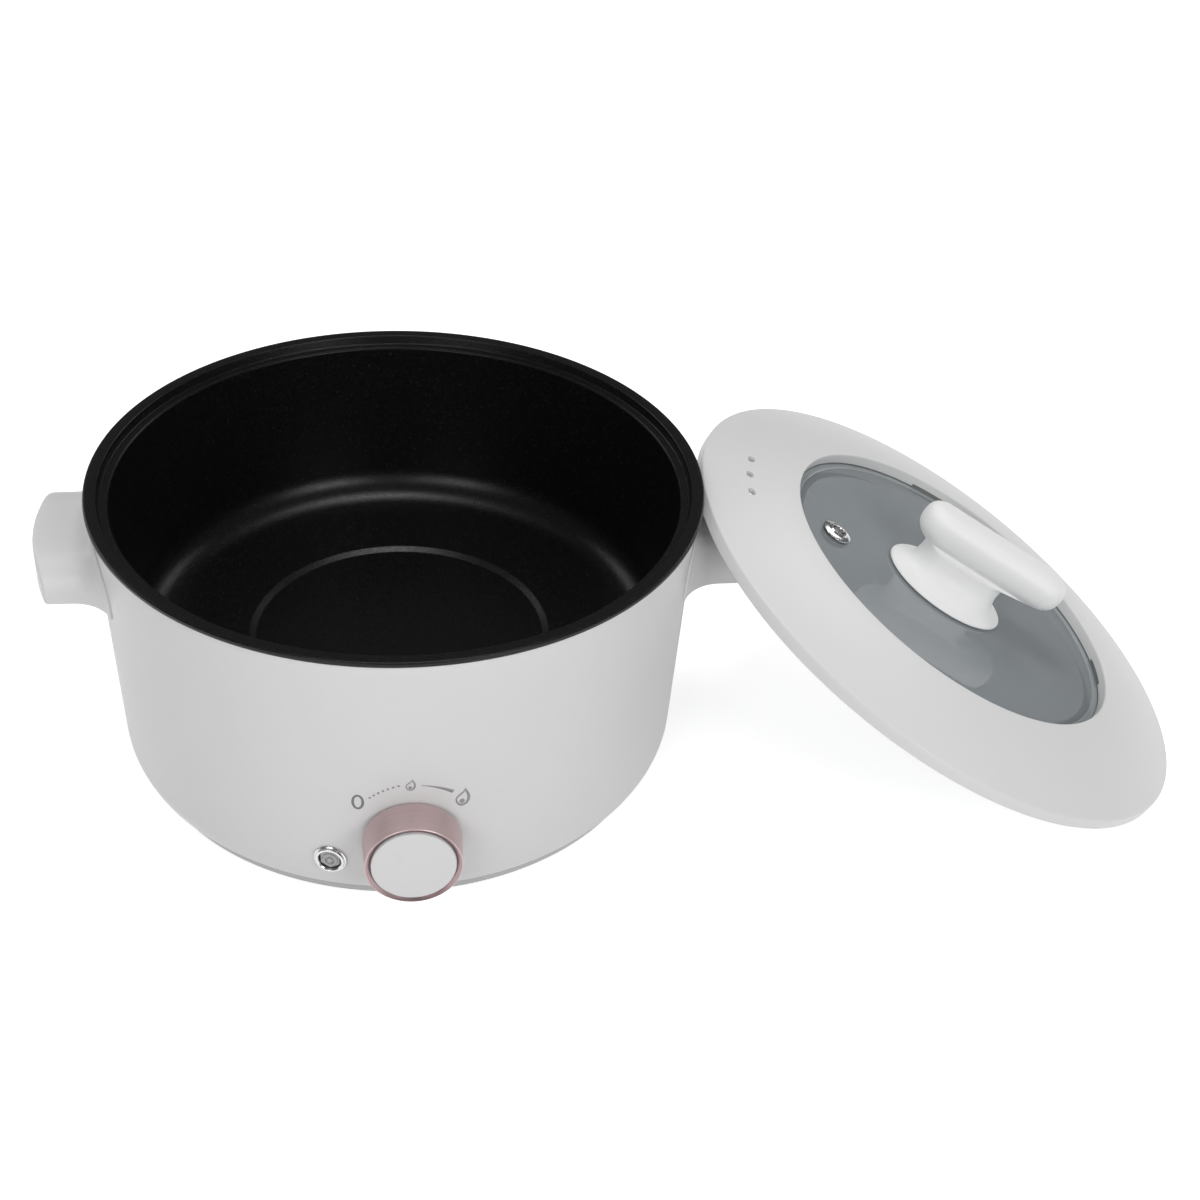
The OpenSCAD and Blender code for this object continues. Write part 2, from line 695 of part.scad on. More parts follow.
module lid_frame() {
    top = [for (i = [0:12]) frame_top(i / 12)];
    under = [for (i = [1:10]) frame_top(i / 12) - [0, lid_t]];
    outline = concat(
        [[lid_r, -skirt_h + 0.6], [lid_r, -0.6], [lid_r - 0.35, 0.1]], top,
        [[window_r + 0.3, lid_rise - 0.4], [window_r, lid_rise - 1.1], [window_r, seat_z], [rib_r, seat_z],
         [rib_r, 1.6], [rib_r + 2, 1.6], [rib_r + 2, frame_top(0.9)[1] - lid_t]],
        reversed(under), [[lid_r - 2.2, -1], [lid_r - 2.2, -skirt_h], [lid_r - 0.6, -skirt_h]]);
    color(white) leaning() rotate([0, 0, frame_turn]) difference() {
        union() {
            rotate_extrude() polygon(outline);
            // Locating rib that drops inside the pot's rim
            rotate_extrude() polygon([[locating_r, -9.4], [locating_r, 4], [locating_r - 2, 4.5],
                                      [locating_r - 2, -10], [locating_r - 0.6, -10]]);
            for (i = [0:5]) round_pot(60 * i + 30, screw_ring_r) translate([0, 0, 1.5])
                cylinder(r = 3.4, h = 7);
        }
        // Windows that key the glass seal
        for (a = [0:90:270]) rotate([0, 0, a]) translate([window_r - 5, -notch_w / 2, seat_z - 1])
            cube([5 + notch_depth, notch_w, notch_top_z - seat_z + 1]);
        // Steam vents
        for (a = [-7.6, 0, 7.6]) rotate([0, 0, vent_a + a]) translate([vent_r, 0, 0]) {
            translate([0, -1, 0]) cylinder(r = 1.7, h = 30, center = true);
            translate([0, 1, 0]) cylinder(r = 1.7, h = 30, center = true);
        }
        for (i = [0:5]) round_pot(60 * i + 30, screw_ring_r) translate([0, 0, 1]) cylinder(r = 1.45, h = 6);
    }
}

module glass_seal() {
    color([0.42, 0.44, 0.44]) leaning() {
        rotate_extrude() polygon([[window_r + 0.3, seat_z], [glass_edge_r - 0.3, seat_z],
                                  [glass_edge_r - 0.3, glass_top(glass_edge_r - 0.3) + 0.02],
                                  [window_r + 0.3, glass_top(window_r + 0.3) + 0.02]]);
        // Lugs that stand in the frame's notches
        rotate([0, 0, frame_turn]) for (a = [0:90:270]) rotate([0, 0, a])
            translate([window_r + 0.6, 0.2 - notch_w / 2, seat_z - 0.3])
                cube([notch_depth - 0.7, notch_w - 0.4, notch_top_z - seat_z + 0.2]);
    }
}

module lid_glass() {
    steps = 8;
    radii = [for (i = [0:steps]) glass_edge_r * i / steps];
    color([0.55, 0.58, 0.6, 0.5]) leaning() rotate([0, 0, glass_turn]) difference() {
        rotate_extrude() polygon(concat([for (r = radii) [r, glass_top(r)]],
                                        [for (r = reversed(radii)) [r, glass_top(r) - glass_t]]));
        translate([grip_x, 0, glass_mid_z - 10]) cylinder(r = 4, h = 20);
        translate([-eyelet_r, 0, 0]) cylinder(r = 4.6, h = 20);
    }
}

module retaining_ring() {
    seat = glass_top(glass_edge_r) - glass_t;
    color(white) leaning() rotate([0, 0, frame_turn]) difference() {
        rotate_extrude()
            polygon([[clip_ring_in, glass_top(clip_ring_in) - glass_t - 0.05], [glass_edge_r, seat - 0.05],
                     [rib_r - 0.2, seat - 0.05], [rib_r - 0.2, 1.5], [clip_ring_out, 1.5],
                     [clip_ring_out, -0.3], [rib_r - 2, -0.9], [clip_ring_in + 1, -0.3]]);
        for (i = [0:5]) round_pot(60 * i + 30, screw_ring_r) translate([0, 0, -5]) cylinder(r = 1.6, h = 10);
    }
}

module retaining_screws() {
    color(steel) leaning() rotate([0, 0, frame_turn])
        for (i = [0:5]) round_pot(60 * i + 30, screw_ring_r) {
            translate([0, 0, -2.3]) cylinder(r = 2.7, h = 1.6);
            translate([0, 0, -1]) cylinder(r = 1.4, h = 6.5);
        }
}

// A pressed steel ferrule that lets steam through the glass.
module steam_eyelet() {
    z = glass_top(eyelet_r);
    color(steel) leaning() rotate([0, 0, glass_turn]) translate([-eyelet_r, 0, z]) rotate_extrude()
        polygon([[3.2, -7.4], [4, -7.4], [4, 0.7], [7.6, 0.7], [7.6, 1.1], [6.6, 1.7], [4.6, 1.9],
                 [4, 2.6], [3.5, 2.6], [3.2, 2.2]]);
}

module eyelet_gasket() {
    z = glass_top(eyelet_r);
    color([0.2, 0.2, 0.2]) leaning() rotate([0, 0, glass_turn]) translate([-eyelet_r, 0, z]) {
        translate([0, 0, 0.2]) ring(7, 4.1, 0.45);
        translate([0, 0, -glass_t - 1.6]) ring(7, 4.1, 1.3);
    }
}

// ---- Lid grip ----
grip_z = glass_mid_z + 0.4;

// Half the straight part, the end's half length and half width, the height, and the middle's place along x.
function grip_section(s, n) =
    [for (i = [0:n - 1]) let (q = 360 * (i + 0.5) / n)
        [s[4] + sign(cos(q)) * s[0] + s[1] * cos(q), s[2] * sin(q), s[3]]];

// The bar's section at angle e up its rounded side.
function bar_section(e) =
    [(grip_l - grip_w) / 2, grip_w / 2 * cos(e), grip_w / 2 * pow(cos(e), 0.8),
     grip_h - grip_t / 2 + grip_t / 2 * sin(e), grip_overhang];

module loft(sections) {
    n = len(sections[0]);
    last = len(sections) - 1;
    points = [for (s = sections) each s];
    sides = [for (k = [0:last - 1], i = [0:n - 1]) let (j = (i + 1) % n)
        each [[k * n + i, (k + 1) * n + i, (k + 1) * n + j], [k * n + i, (k + 1) * n + j, k * n + j]]];
    bottom = [[for (i = [0:n - 1]) i]];
    top = [[for (i = [n - 1:-1:0]) last * n + i]];
    polyhedron(points = points, faces = concat(sides, bottom, top), convexity = 6);
}

// Children stand at the grip's axis, turned with it.
module at_grip() {
    leaning() translate([grip_x, 0, 0]) rotate([0, 0, grip_turn]) children();
}

// An oval flange sweeps up into the neck, which carries the bar.
module lid_grip() {
    l = flange_l / 2;
    w = flange_w / 2;
    neck = 9.5;
    straight = 13.2;
    n = 36;
    under = grip_h - grip_t;
    foot = [[0, l - 0.6, w - 0.6, 0, 0], [0, l, w, 0.6, 0], [0, l - 0.3, w - 0.4, 1.5, 0],
            [0, l - 1.9, w - 2.2, 2.3, 0], [2, l - 6.1, w - 6, 3.2, 0], [6, 19.6, 15.2, 4.6, 0],
            [10, 13.9, 12.2, 6.6, 0], [12.5, 10.4, 10.2, 9.4, 0], [straight, neck, neck, 13, 0],
            [straight + 0.2, neck, neck, under - 1.6, 0],
            [straight + 0.9, neck + 0.2, neck + 0.2, under - 0.4, 0.4]];
    bar = [for (e = [-68, -48, -28, -10, 8, 26, 43, 58, 71, 82]) bar_section(e)];
    color(white) at_grip() translate([0, 0, grip_z]) difference() {
        loft([for (s = concat(foot, bar)) grip_section(s, n)]);
        translate([0, 0, -1]) cylinder(r = 2.5, h = 15);
    }
}

module grip_gasket() {
    color([0.3, 0.3, 0.3]) at_grip() difference() {
        translate([0, 0, glass_mid_z + 0.02]) cylinder(r = 12, h = grip_z - glass_mid_z - 0.04);
        translate([0, 0, glass_mid_z - 1]) cylinder(r = 2.7, h = 4);
    }
}

module grip_washer() {
    color(steel) at_grip() translate([0, 0, glass_mid_z - glass_t - 1.6]) difference() {
        cylinder(r = 9, h = 1.5);
        translate([0, 0, -1]) cylinder(r = 2.6, h = 4);
    }
}

module grip_screw() {
    head_z = glass_mid_z - glass_t - 1.6;
    color(steel) at_grip() {
        translate([0, 0, head_z - 2.8]) cylinder(r = 4.2, h = 2.7);
        translate([0, 0, head_z - 0.2]) cylinder(r = 2.45, h = 16);
    }
}

outer_shell();
inner_pot();
rim_gasket();
handle_left();
handle_right();
handle_screws();
base_cover();
rubber_feet();
base_screws();
support_pillars();
pot_studs();
heating_plate();
heating_tube();
tube_terminals();
heat_shield();
thermal_fuse();
fuse_clip();
thermostat_body();
thermostat_screws();
lamp_bezel();
lamp_lens();
lamp_holder();
inlet_housing();
inlet_pins();
inlet_screws();
thermostat_shaft();
knob_hub();
knob_ring();
knob_face();
lid_frame();
glass_seal();
lid_glass();
retaining_ring();
retaining_screws();
steam_eyelet();
eyelet_gasket();
lid_grip();
grip_gasket();
grip_washer();
grip_screw();
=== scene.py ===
"""Looks of an electric hot pot with its lid off: turned and moulded pieces, finishes, dial marks and studio.

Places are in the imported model's frame, in metres: +Z is up, the table is z = 0, the pot's axis is Z and its
control knob faces -Y. Outlines are written in millimetres, as (radius, height) and a rounding radius.
"""

import json
from math import atan, cos, degrees, hypot, pi, radians, sin, sqrt, tan, tau

import bmesh
import bpy
from mathutils import Matrix, Vector


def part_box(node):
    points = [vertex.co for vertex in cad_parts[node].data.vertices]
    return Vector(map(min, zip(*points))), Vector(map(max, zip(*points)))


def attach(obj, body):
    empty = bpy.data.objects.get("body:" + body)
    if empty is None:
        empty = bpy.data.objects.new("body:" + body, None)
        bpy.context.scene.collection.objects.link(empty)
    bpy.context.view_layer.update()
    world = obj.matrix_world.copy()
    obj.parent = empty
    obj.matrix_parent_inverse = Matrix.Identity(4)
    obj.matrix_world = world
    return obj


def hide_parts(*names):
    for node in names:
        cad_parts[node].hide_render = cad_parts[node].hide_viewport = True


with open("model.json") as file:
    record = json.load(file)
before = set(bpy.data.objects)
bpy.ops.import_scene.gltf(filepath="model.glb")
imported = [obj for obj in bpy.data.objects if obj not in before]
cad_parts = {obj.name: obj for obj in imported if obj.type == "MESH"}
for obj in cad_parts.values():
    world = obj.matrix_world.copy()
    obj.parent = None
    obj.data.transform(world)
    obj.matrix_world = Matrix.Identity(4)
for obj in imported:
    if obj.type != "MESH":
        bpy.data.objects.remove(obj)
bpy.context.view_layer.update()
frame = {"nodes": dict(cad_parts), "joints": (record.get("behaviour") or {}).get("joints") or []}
bpy.ops.object.select_all(action="DESELECT")

MM = 0.001

# ---- Sizes in millimetres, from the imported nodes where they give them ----


def node_box(node):
    low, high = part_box(node)
    return low / MM, high / MM


POT_LOW, POT_HIGH = node_box("inner_pot")
RIM_R = POT_HIGH.y
POT_H = POT_HIGH.z
SHELL_LOW, SHELL_HIGH = node_box("outer_shell")
SHELL_TOP_R = SHELL_HIGH.x
SHELL_TOP = SHELL_HIGH.z
# The shell's foot ends this far above the solid's, so that the base cover shows as a band
FOOT_LIFT = 1.5
SHELL_FOOT = SHELL_LOW.z + FOOT_LIFT
SHELL_WALL = 2.4
# How far the side leans out for each millimetre up
DRAFT = 0.05
# The foot's curve: its radius, and in degrees its full sweep and that to the shell's end; its steps
FOOT_CURVE = 20
FOOT_SWEEP, CUT_SWEEP, FOOT_STEPS = 57, 49.8, 14

KNOB_LOW, KNOB_HIGH = node_box("knob_ring")
KNOB_Z = (KNOB_LOW.z + KNOB_HIGH.z) / 2
KNOB_R = KNOB_HIGH.x
KNOB_BACK, KNOB_FRONT = -KNOB_HIGH.y, -KNOB_LOW.y

# Steps round a large, a small and the smallest turned pieces, and along a rounded corner
TURN_STEPS, SMALL_STEPS, FEW_STEPS = 256, 96, 48
ARC_STEPS = 5
SMOOTH_ANGLE = radians(32)
# Points nearer than this, in metres, are one: in the pieces made here and in a copied CAD node
WELD, CAD_WELD = 2e-6, 1e-5
# Faces of a copied CAD node that meet at less than this are one flat face
FLAT_ANGLE = radians(1)


def wall_r(height):
    """Radius of the shell's outside at a height on its straight part."""
    return SHELL_TOP_R - (SHELL_TOP - height) * DRAFT


def between(first, last, t):
    return first + (last - first) * t


# ---- The lid's own frame: its axis is Z, +X runs down its slope and z = 0 is its upper outer edge ----
LID_AXIS = Vector(next(j["axis"] for j in frame["joints"] if j["name"] == "lid_lift"))
WASHER_LEVEL = 2.05
GRIP_X = -3.3


def lid_matrix():
    """From the lid's own frame to the leaning lid, by its lifting axis and the washer under its grip."""
    low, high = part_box("grip_washer")
    level = Vector((0, 0, 1)).cross(LID_AXIS).normalized()
    turn = Matrix((level.cross(LID_AXIS), level, LID_AXIS)).transposed()
    origin = (low + high) / 2 - turn @ Vector((GRIP_X, 0, WASHER_LEVEL)) * MM
    return Matrix.Translation(origin) @ turn.to_4x4()


LID = lid_matrix()
# The frame: its radius, the window's radius and height, the bulge between them, its skirt and wall
LID_R = 138.6
WINDOW_R = 90.9
LID_RISE = 12.4
LID_BULGE = 1.6
LID_SKIRT = 5.8
LID_WALL = 2.6
# The glass: its seat's and its middle's height, its crown, edge, thickness and its border's inside
GLASS_SEAT = 6.6
GLASS_MIDDLE = 6.9
GLASS_CROWN = 1
GLASS_EDGE_R = WINDOW_R + 4.3
GLASS_THICK = 4
GLASS_BAND_R = 87.4
# Radii of the rib round the glass, the rib that finds the pot's ledge and the steam ferrule's middle
GLASS_RIB_R = 97.5
LOCATING_R = 128.5
EYELET_R = 67
# Degrees that the frame, the glass and the grip are turned about the lid's axis
FRAME_TURN, GLASS_TURN, GRIP_TURN = -3, 0.5, -10


def glass_top(radius):
    return GLASS_MIDDLE - GLASS_CROWN * (radius / WINDOW_R) ** 2


# ---- Mesh tools ----


def mode(name):
    bpy.ops.object.mode_set(mode=name)


def select(action="SELECT"):
    bpy.ops.mesh.select_all(action=action)


def move(way):
    """Moves what is selected in edit mode."""
    bpy.ops.transform.translate(value=way)


def smooth():
    bpy.ops.object.shade_smooth_by_angle(angle=SMOOTH_ANGLE)


def add_object(name, data):
    made = bpy.data.objects.new(name, data)
    bpy.context.scene.collection.objects.link(made)
    return made


def begin(name):
    """Names the primitive that was just added and opens it in edit mode, all selected."""
    piece = bpy.context.object
    piece.name = piece.data.name = name
    mode("EDIT")
    bpy.ops.mesh.select_mode(type="VERT")
    select()
    return piece


def end(piece):
    """Closes seams, turns faces outwards and leaves edit mode."""
    select()
    bpy.ops.mesh.remove_doubles(threshold=WELD)
    bpy.ops.mesh.normals_make_consistent(inside=False)
    mode("OBJECT")
    smooth()
    return piece


def choose(piece, kind, test):
    """In edit mode, selects only the vertices or faces whose middle, in millimetres, passes the test."""
    bpy.ops.mesh.select_mode(type=kind)
    select("DESELECT")
    mesh = bmesh.from_edit_mesh(piece.data)
    if kind == "VERT":
        found = [v for v in mesh.verts if test(v.co / MM, v)]
    else:
        found = [f for f in mesh.faces if test(f.calc_center_median() / MM, f)]
    for part in found:
        part.select = True
    mesh.select_flush_mode()
    bmesh.update_edit_mesh(piece.data)


def only(piece):
    """Makes piece the one selected and active object."""
    bpy.ops.object.select_all(action="DESELECT")
    piece.select_set(True)
    bpy.context.view_layer.objects.active = piece


def modify(piece, kind, **values):
    """Adds a modifier with these values and applies it."""
    only(piece)
    modifier = piece.modifiers.new(kind.lower(), kind)
    for key, value in values.items():
        setattr(modifier, key, value)
    bpy.ops.object.modifier_apply(modifier=modifier.name)


def soften(piece, width, angle=40, segments=3):
    """Rounds every edge sharper than angle degrees, width in millimetres."""
    modify(piece, "BEVEL", width=width * MM, segments=segments, limit_method="ANGLE",
           angle_limit=radians(angle), use_clamp_overlap=True, miter_outer="MITER_ARC")
    smooth()
    return piece


def place(piece, matrix):
    """Moves a piece and puts its place into its mesh."""
    only(piece)
    piece.matrix_world = matrix @ piece.matrix_world
    bpy.ops.object.transform_apply(location=True, rotation=True, scale=True)
    return piece


def join(pieces):
    """One object of several, under the first one's name."""
    first, *others = pieces
    only(first)
    for other in others:
        other.select_set(True)
    if others:
        bpy.ops.object.join()
    return first


def rounded(outline):
    """The outline's points, with each corner that names a radius turned into an arc."""
    made = []
    for i, corner in enumerate(outline):
        here = Vector(corner[:2])
        if len(corner) < 3:
            made.append(here)
            continue
        before = (Vector(outline[i - 1][:2]) - here).normalized()
        after = (Vector(outline[(i + 1) % len(outline)][:2]) - here).normalized()
        half = before.angle(after) / 2
        centre = here + (before + after).normalized() * corner[2] / sin(half)
        start = here + before * corner[2] / tan(half) - centre
        stop = here + after * corner[2] / tan(half) - centre
        sweep = start.angle(stop)
        for k in range(ARC_STEPS + 1):
            t = k / ARC_STEPS
            turn = start * sin((1 - t) * sweep) + stop * sin(t * sweep)
            made.append(centre + turn / sin(sweep))
    return made


def arc(centre, radius, first, last, steps):
    """Points on an arc between two angles in degrees."""
    angles = [radians(first + (last - first) * i / steps) for i in range(steps + 1)]
    return [(centre[0] + radius * cos(a), centre[1] + radius * sin(a)) for a in angles]


def draw(name, points, closed):
    """A wire drawn by extruding one vertex along points given in millimetres."""
    bpy.ops.mesh.primitive_plane_add(size=MM)
    piece = begin(name)
    bpy.ops.mesh.merge(type="CENTER")
    places = [Vector(p) * MM for p in points]
    move(places[0])
    for before, after in zip(places, places[1:] + places[:1] * closed):
        bpy.ops.mesh.extrude_region_move(TRANSFORM_OT_translate={"value": after - before})
    select()
    bpy.ops.mesh.remove_doubles(threshold=WELD)
    return piece


def turned(name, outline, steps=TURN_STEPS):
    """A turned piece: its outline is drawn and spun about Z."""
    points = [(p.x, 0, p.y) for p in rounded(outline)]
    on_axis = points[0][0] < WELD and points[-1][0] < WELD
    piece = draw(name, points, closed=not on_axis)
    bpy.ops.mesh.spin(steps=steps, angle=tau, center=(0, 0, 0), axis=(0, 0, 1))
    return end(piece)


def fit(piece, body, slot, *nodes, paint=None):
    """Gives a piece the slot's finish or another paint, puts it on its body and hides the CAD nodes it stands
    for.
    """
    piece.data.materials.clear()
    piece.data.materials.append(paint or FINISHES[slot])
    if nodes:
        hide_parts(*nodes)
    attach(piece, body)
    return piece


def paint_faces(piece, paint, test):
    """Gives the faces that pass the test a second material."""
    piece.data.materials.append(paint)
    piece.active_material_index = 1
    only(piece)
    mode("EDIT")
    choose(piece, "FACE", test)
    bpy.ops.object.material_slot_assign()
    mode("OBJECT")


def turn_about(axis, angle):
    return Matrix.Rotation(radians(angle), 4, axis)


def shift(x, y, z):
    """A move in millimetres."""
    return Matrix.Translation(Vector((x, y, z)) * MM)


def block(name, low, high, soft=0.0):
    """A box between two corners, its edges rounded."""
    bpy.ops.mesh.primitive_cube_add(size=MM)
    piece = begin(name)
    low, high = Vector(low), Vector(high)
    bpy.ops.transform.resize(value=high - low)
    move((low + high) / 2 * MM)
    end(piece)
    return soften(piece, soft) if soft else piece


def rod(name, radius, start, stop, steps=FEW_STEPS, soft=0.0):
    """A bar between two points, round or with a few sides, its edges rounded."""
    way = (Vector(stop) - Vector(start)) * MM
    bpy.ops.mesh.primitive_cylinder_add(vertices=steps, radius=radius * MM, depth=way.length)
    piece = end(begin(name))
    turn = way.to_track_quat("Z", "Y").to_matrix().to_4x4()
    place(piece, Matrix.Translation(Vector(start) * MM + way / 2) @ turn)
    return soften(piece, soft) if soft else piece


def cut(piece, tool):
    """Takes the tool's shape out of a piece, and deletes the tool."""
    modify(piece, "BOOLEAN", object=tool, operation="DIFFERENCE", solver="EXACT")
    bpy.data.objects.remove(tool)
    smooth()
    return piece


def ribbon(name, first, second, closed=False):
    """A strip of faces between two drawn lines of as many points; stays in edit mode, all selected."""
    lines = []
    for points in (first, second):
        lines.append(draw(name, points, closed))
        mode("OBJECT")
    piece = join(lines)
    begin(name)
    bpy.ops.mesh.bridge_edge_loops()
    select()
    return piece


def carry(piece, before, after):
    """Moves each selected vertex from its place among the points before to the same one after."""
    mesh = bmesh.from_edit_mesh(piece.data)
    moves = {}
    for v in mesh.verts:
        if v.select:
            nearest = min(range(len(before)), key=lambda i: (v.co / MM - Vector(before[i])).length_squared)
            moves[v.index] = Vector(after[nearest]) - Vector(before[nearest])
    for index, way in moves.items():
        choose(piece, "VERT", lambda at, v: v.index == index)
        move(way * MM)
    choose(piece, "VERT", lambda at, v: v.index in moves)
    bpy.ops.mesh.select_mode(type="FACE")


def lofted(name, rings):
    """A closed piece through rings, each of which runs across and back along two lines."""
    middle = len(rings[0]) // 2
    piece = ribbon(name, rings[0][:middle], rings[0][middle:][::-1])
    bpy.ops.mesh.select_mode(type="FACE")
    for before, after in zip(rings, rings[1:]):
        bpy.ops.mesh.extrude_region_move(TRANSFORM_OT_translate={"value": (0, 0, 0)})
        carry(piece, before, after)
    return end(piece)


def mirrored(piece, name):
    """A copy of a piece on the other side of the pot, with its own mesh."""
    only(piece)
    bpy.ops.object.duplicate()
    copy = begin(name)
    bpy.ops.transform.resize(value=(-1, 1, 1), center_override=(0, 0, 0))
    return end(copy)


def copied(node, name):
    """A copy of a CAD node with its flat faces merged; stays in edit mode."""
    copy = add_object(name, frame["nodes"][node].data.copy())
    copy.matrix_world = frame["nodes"][node].matrix_world
    only(copy)
    begin(name)
    bpy.ops.mesh.remove_doubles(threshold=CAD_WELD)
    bpy.ops.mesh.dissolve_limited(angle_limit=FLAT_ANGLE)
    return copy


# ---- Node groups for what several finishes share; noises are given in waves per metre ----
GIVEN = [("Vector", "Vector", None), ("Colour", "Color", (0.6, 0.6, 0.6, 1)), ("Gloss", "Float", 0.4),
         ("Gloss Drift", "Float", 0.1)]
SHADE = ("Shade", "Color", (0.5, 0.5, 0.5, 1))
SURFACE = [("Colour", "Color"), ("Roughness", "Float"), ("Height", "Float")]
DRIFT_WAVES, FLECK_WAVES, CLOUD_WAVES = 9.0, 240.0, 31.0
FLECK_SHARE, DRIFT_SHARE = 0.35, 0.65
SPECK_WAVES, PEEL_WAVES, SPRAY_WAVES = 1500.0, 900.0, 420.0
# Brushed lines are counted on a vector that is already stretched
LINE_WAVES, BROAD_WAVES = 1.0, 0.12
FILM_WAVES = 26.0


def new_group(name, inputs, outputs):
    group = bpy.data.node_groups.new(name, "ShaderNodeTree")
    for label, kind, value in inputs:
        socket = group.interface.new_socket(label, in_out="INPUT", socket_type="NodeSocket" + kind)
        if value is not None:
            socket.default_value = value
    for label, kind in outputs:
        group.interface.new_socket(label, in_out="OUTPUT", socket_type="NodeSocket" + kind)
    return group, group.nodes.new("NodeGroupInput").outputs, group.nodes.new("NodeGroupOutput").inputs


def give(tree, socket, value):
    """Sets a node's input to a plain value, or links another socket to it."""
    if isinstance(value, bpy.types.NodeSocket):
        tree.links.new(value, socket)
    else:
        socket.default_value = value


def feed(tree, node, **values):
    """Gives a node's inputs by name."""
    for key, value in values.items():
        give(tree, node.inputs[key.replace("_", " ")], value)


def noise(group, given, waves, detail=2.0, rough=0.5):
    """A noise texture on the group's vector."""
    node = group.nodes.new("ShaderNodeTexNoise")
    feed(group, node, Vector=given["Vector"], Scale=waves, Detail=detail, Roughness=rough)
    return node.outputs["Fac"]


def math_node(tree, operation, first, second=0.0, third=0.0):
    node = tree.nodes.new("ShaderNodeMath")
    node.operation = operation
    for socket, value in zip(node.inputs, (first, second, third)):
        give(tree, socket, value)
    return node.outputs[0]


def spread(tree, value, low, high, top=1.0):
    """Maps value from low..high to 0..top, clamped."""
    node = tree.nodes.new("ShaderNodeMapRange")
    feed(tree, node, Value=value, From_Min=low, From_Max=high, To_Min=0.0, To_Max=top)
    return node.outputs["Result"]


def blend_colour(tree, factor, first, second):
    """Mixes two colours; a Mix node takes colours at inputs 6 and 7 and gives one at output 2."""
    node = tree.nodes.new("ShaderNodeMix")
    node.data_type = "RGBA"
    for number, value in ((0, factor), (6, first), (7, second)):
        give(tree, node.inputs[number], value)
    return node.outputs[2]


def sway_gloss(group, value, given, out):
    """Roughness: the gloss, moved up and down by a noise about its middle value."""
    swing = math_node(group, "SUBTRACT", value, 0.5)
    gloss = math_node(group, "MULTIPLY_ADD", swing, given["Gloss Drift"], given["Gloss"])
    give(group, out["Roughness"], gloss)


def moulded_group():
    """Moulded plastic or rubber: fine eroded grain, slow drift of tone and gloss."""
    group, given, out = new_group("Moulded Grain", GIVEN + [SHADE, ("Grain", "Float", 1700.0)], SURFACE)
    drift = noise(group, given, DRIFT_WAVES, detail=3.0)
    fleck = noise(group, given, FLECK_WAVES)
    tone = math_node(group, "MULTIPLY_ADD", fleck, FLECK_SHARE, spread(group, drift, 0.3, 0.7, DRIFT_SHARE))
    give(group, out["Colour"], blend_colour(group, tone, given["Colour"], given["Shade"]))
    sway_gloss(group, noise(group, given, CLOUD_WAVES, detail=4.0), given, out)
    give(group, out["Height"], noise(group, given, given["Grain"], detail=3.0, rough=0.6))
    return group


def coat_group():
    """Sprayed non-stick coat: orange peel with fine bright specks."""
    speck = ("Speck", "Color", (0.05, 0.05, 0.05, 1))
    group, given, out = new_group("Sprayed Coat", GIVEN + [speck], SURFACE)
    dots = noise(group, given, SPECK_WAVES, rough=0.7)
    specks = spread(group, dots, 0.62, 0.74)
    give(group, out["Colour"], blend_colour(group, specks, given["Colour"], given["Speck"]))
    peel = noise(group, given, PEEL_WAVES, detail=3.0, rough=0.6)
    sway_gloss(group, noise(group, given, SPRAY_WAVES, detail=3.0), given, out)
    give(group, out["Height"], math_node(group, "MULTIPLY_ADD", dots, 0.5, peel))
    return group


def brushed_group():
    """Metal with fine lines: the vector arrives already stretched along the lines."""
    group, given, out = new_group("Brushed Lines", GIVEN + [SHADE], SURFACE)
    lines = noise(group, given, LINE_WAVES, detail=4.0, rough=0.7)
    broad = noise(group, given, BROAD_WAVES)
    tone = math_node(group, "MULTIPLY_ADD", lines, 0.5, math_node(group, "MULTIPLY", broad, 0.5))
    shade = spread(group, tone, 0.35, 0.65)
    give(group, out["Colour"], blend_colour(group, shade, given["Colour"], given["Shade"]))
    sway_gloss(group, lines, given, out)
    give(group, out["Height"], lines)
    return group


def film_group():
    """Faint film of handling on glass and bright metal, as roughness only."""
    group, given, out = new_group(
        "Handling Film", [("Vector", "Vector", None), ("Gloss", "Float", 0.05), ("Film", "Float", 0.06)],
        [("Roughness", "Float")])
    film = spread(group, noise(group, given, FILM_WAVES, detail=5.0, rough=0.6), 0.45, 0.7)
    give(group, out["Roughness"], math_node(group, "MULTIPLY_ADD", film, given["Film"], given["Gloss"]))
    return group


MOULDED, COAT, BRUSHED, FILM = moulded_group(), coat_group(), brushed_group(), film_group()


# ---- Finishes ----


def new_finish(name, **plain):
    """A material whose Principled sockets hold the plain values."""
    made = bpy.data.materials.new(name)
    made.use_nodes = True
    shader = made.node_tree.nodes["Principled BSDF"]
    feed(made.node_tree, shader, **plain)
    return made, made.node_tree, shader


def add_group(tree, group, shader, stretch=(1, 1, 1), centre=(0, 0, 0), bump=0.0, **values):
    """Places a node group on Object coordinates and feeds the shader from it; bump is in millimetres."""
    node = tree.nodes.new("ShaderNodeGroup")
    node.node_tree = group
    where = tree.nodes.new("ShaderNodeTexCoord")
    mapping = tree.nodes.new("ShaderNodeMapping")
    feed(tree, mapping, Vector=where.outputs["Object"], Location=[-c * s for c, s in zip(centre, stretch)],
         Scale=stretch)
    feed(tree, node, Vector=mapping.outputs["Vector"], **values)
    if "Colour" in node.outputs:
        feed(tree, shader, Base_Color=node.outputs["Colour"])
    feed(tree, shader, Roughness=node.outputs["Roughness"])
    if bump:
        relief = tree.nodes.new("ShaderNodeBump")
        feed(tree, relief, Distance=bump * MM, Height=node.outputs["Height"])
        feed(tree, shader, Normal=relief.outputs["Normal"])


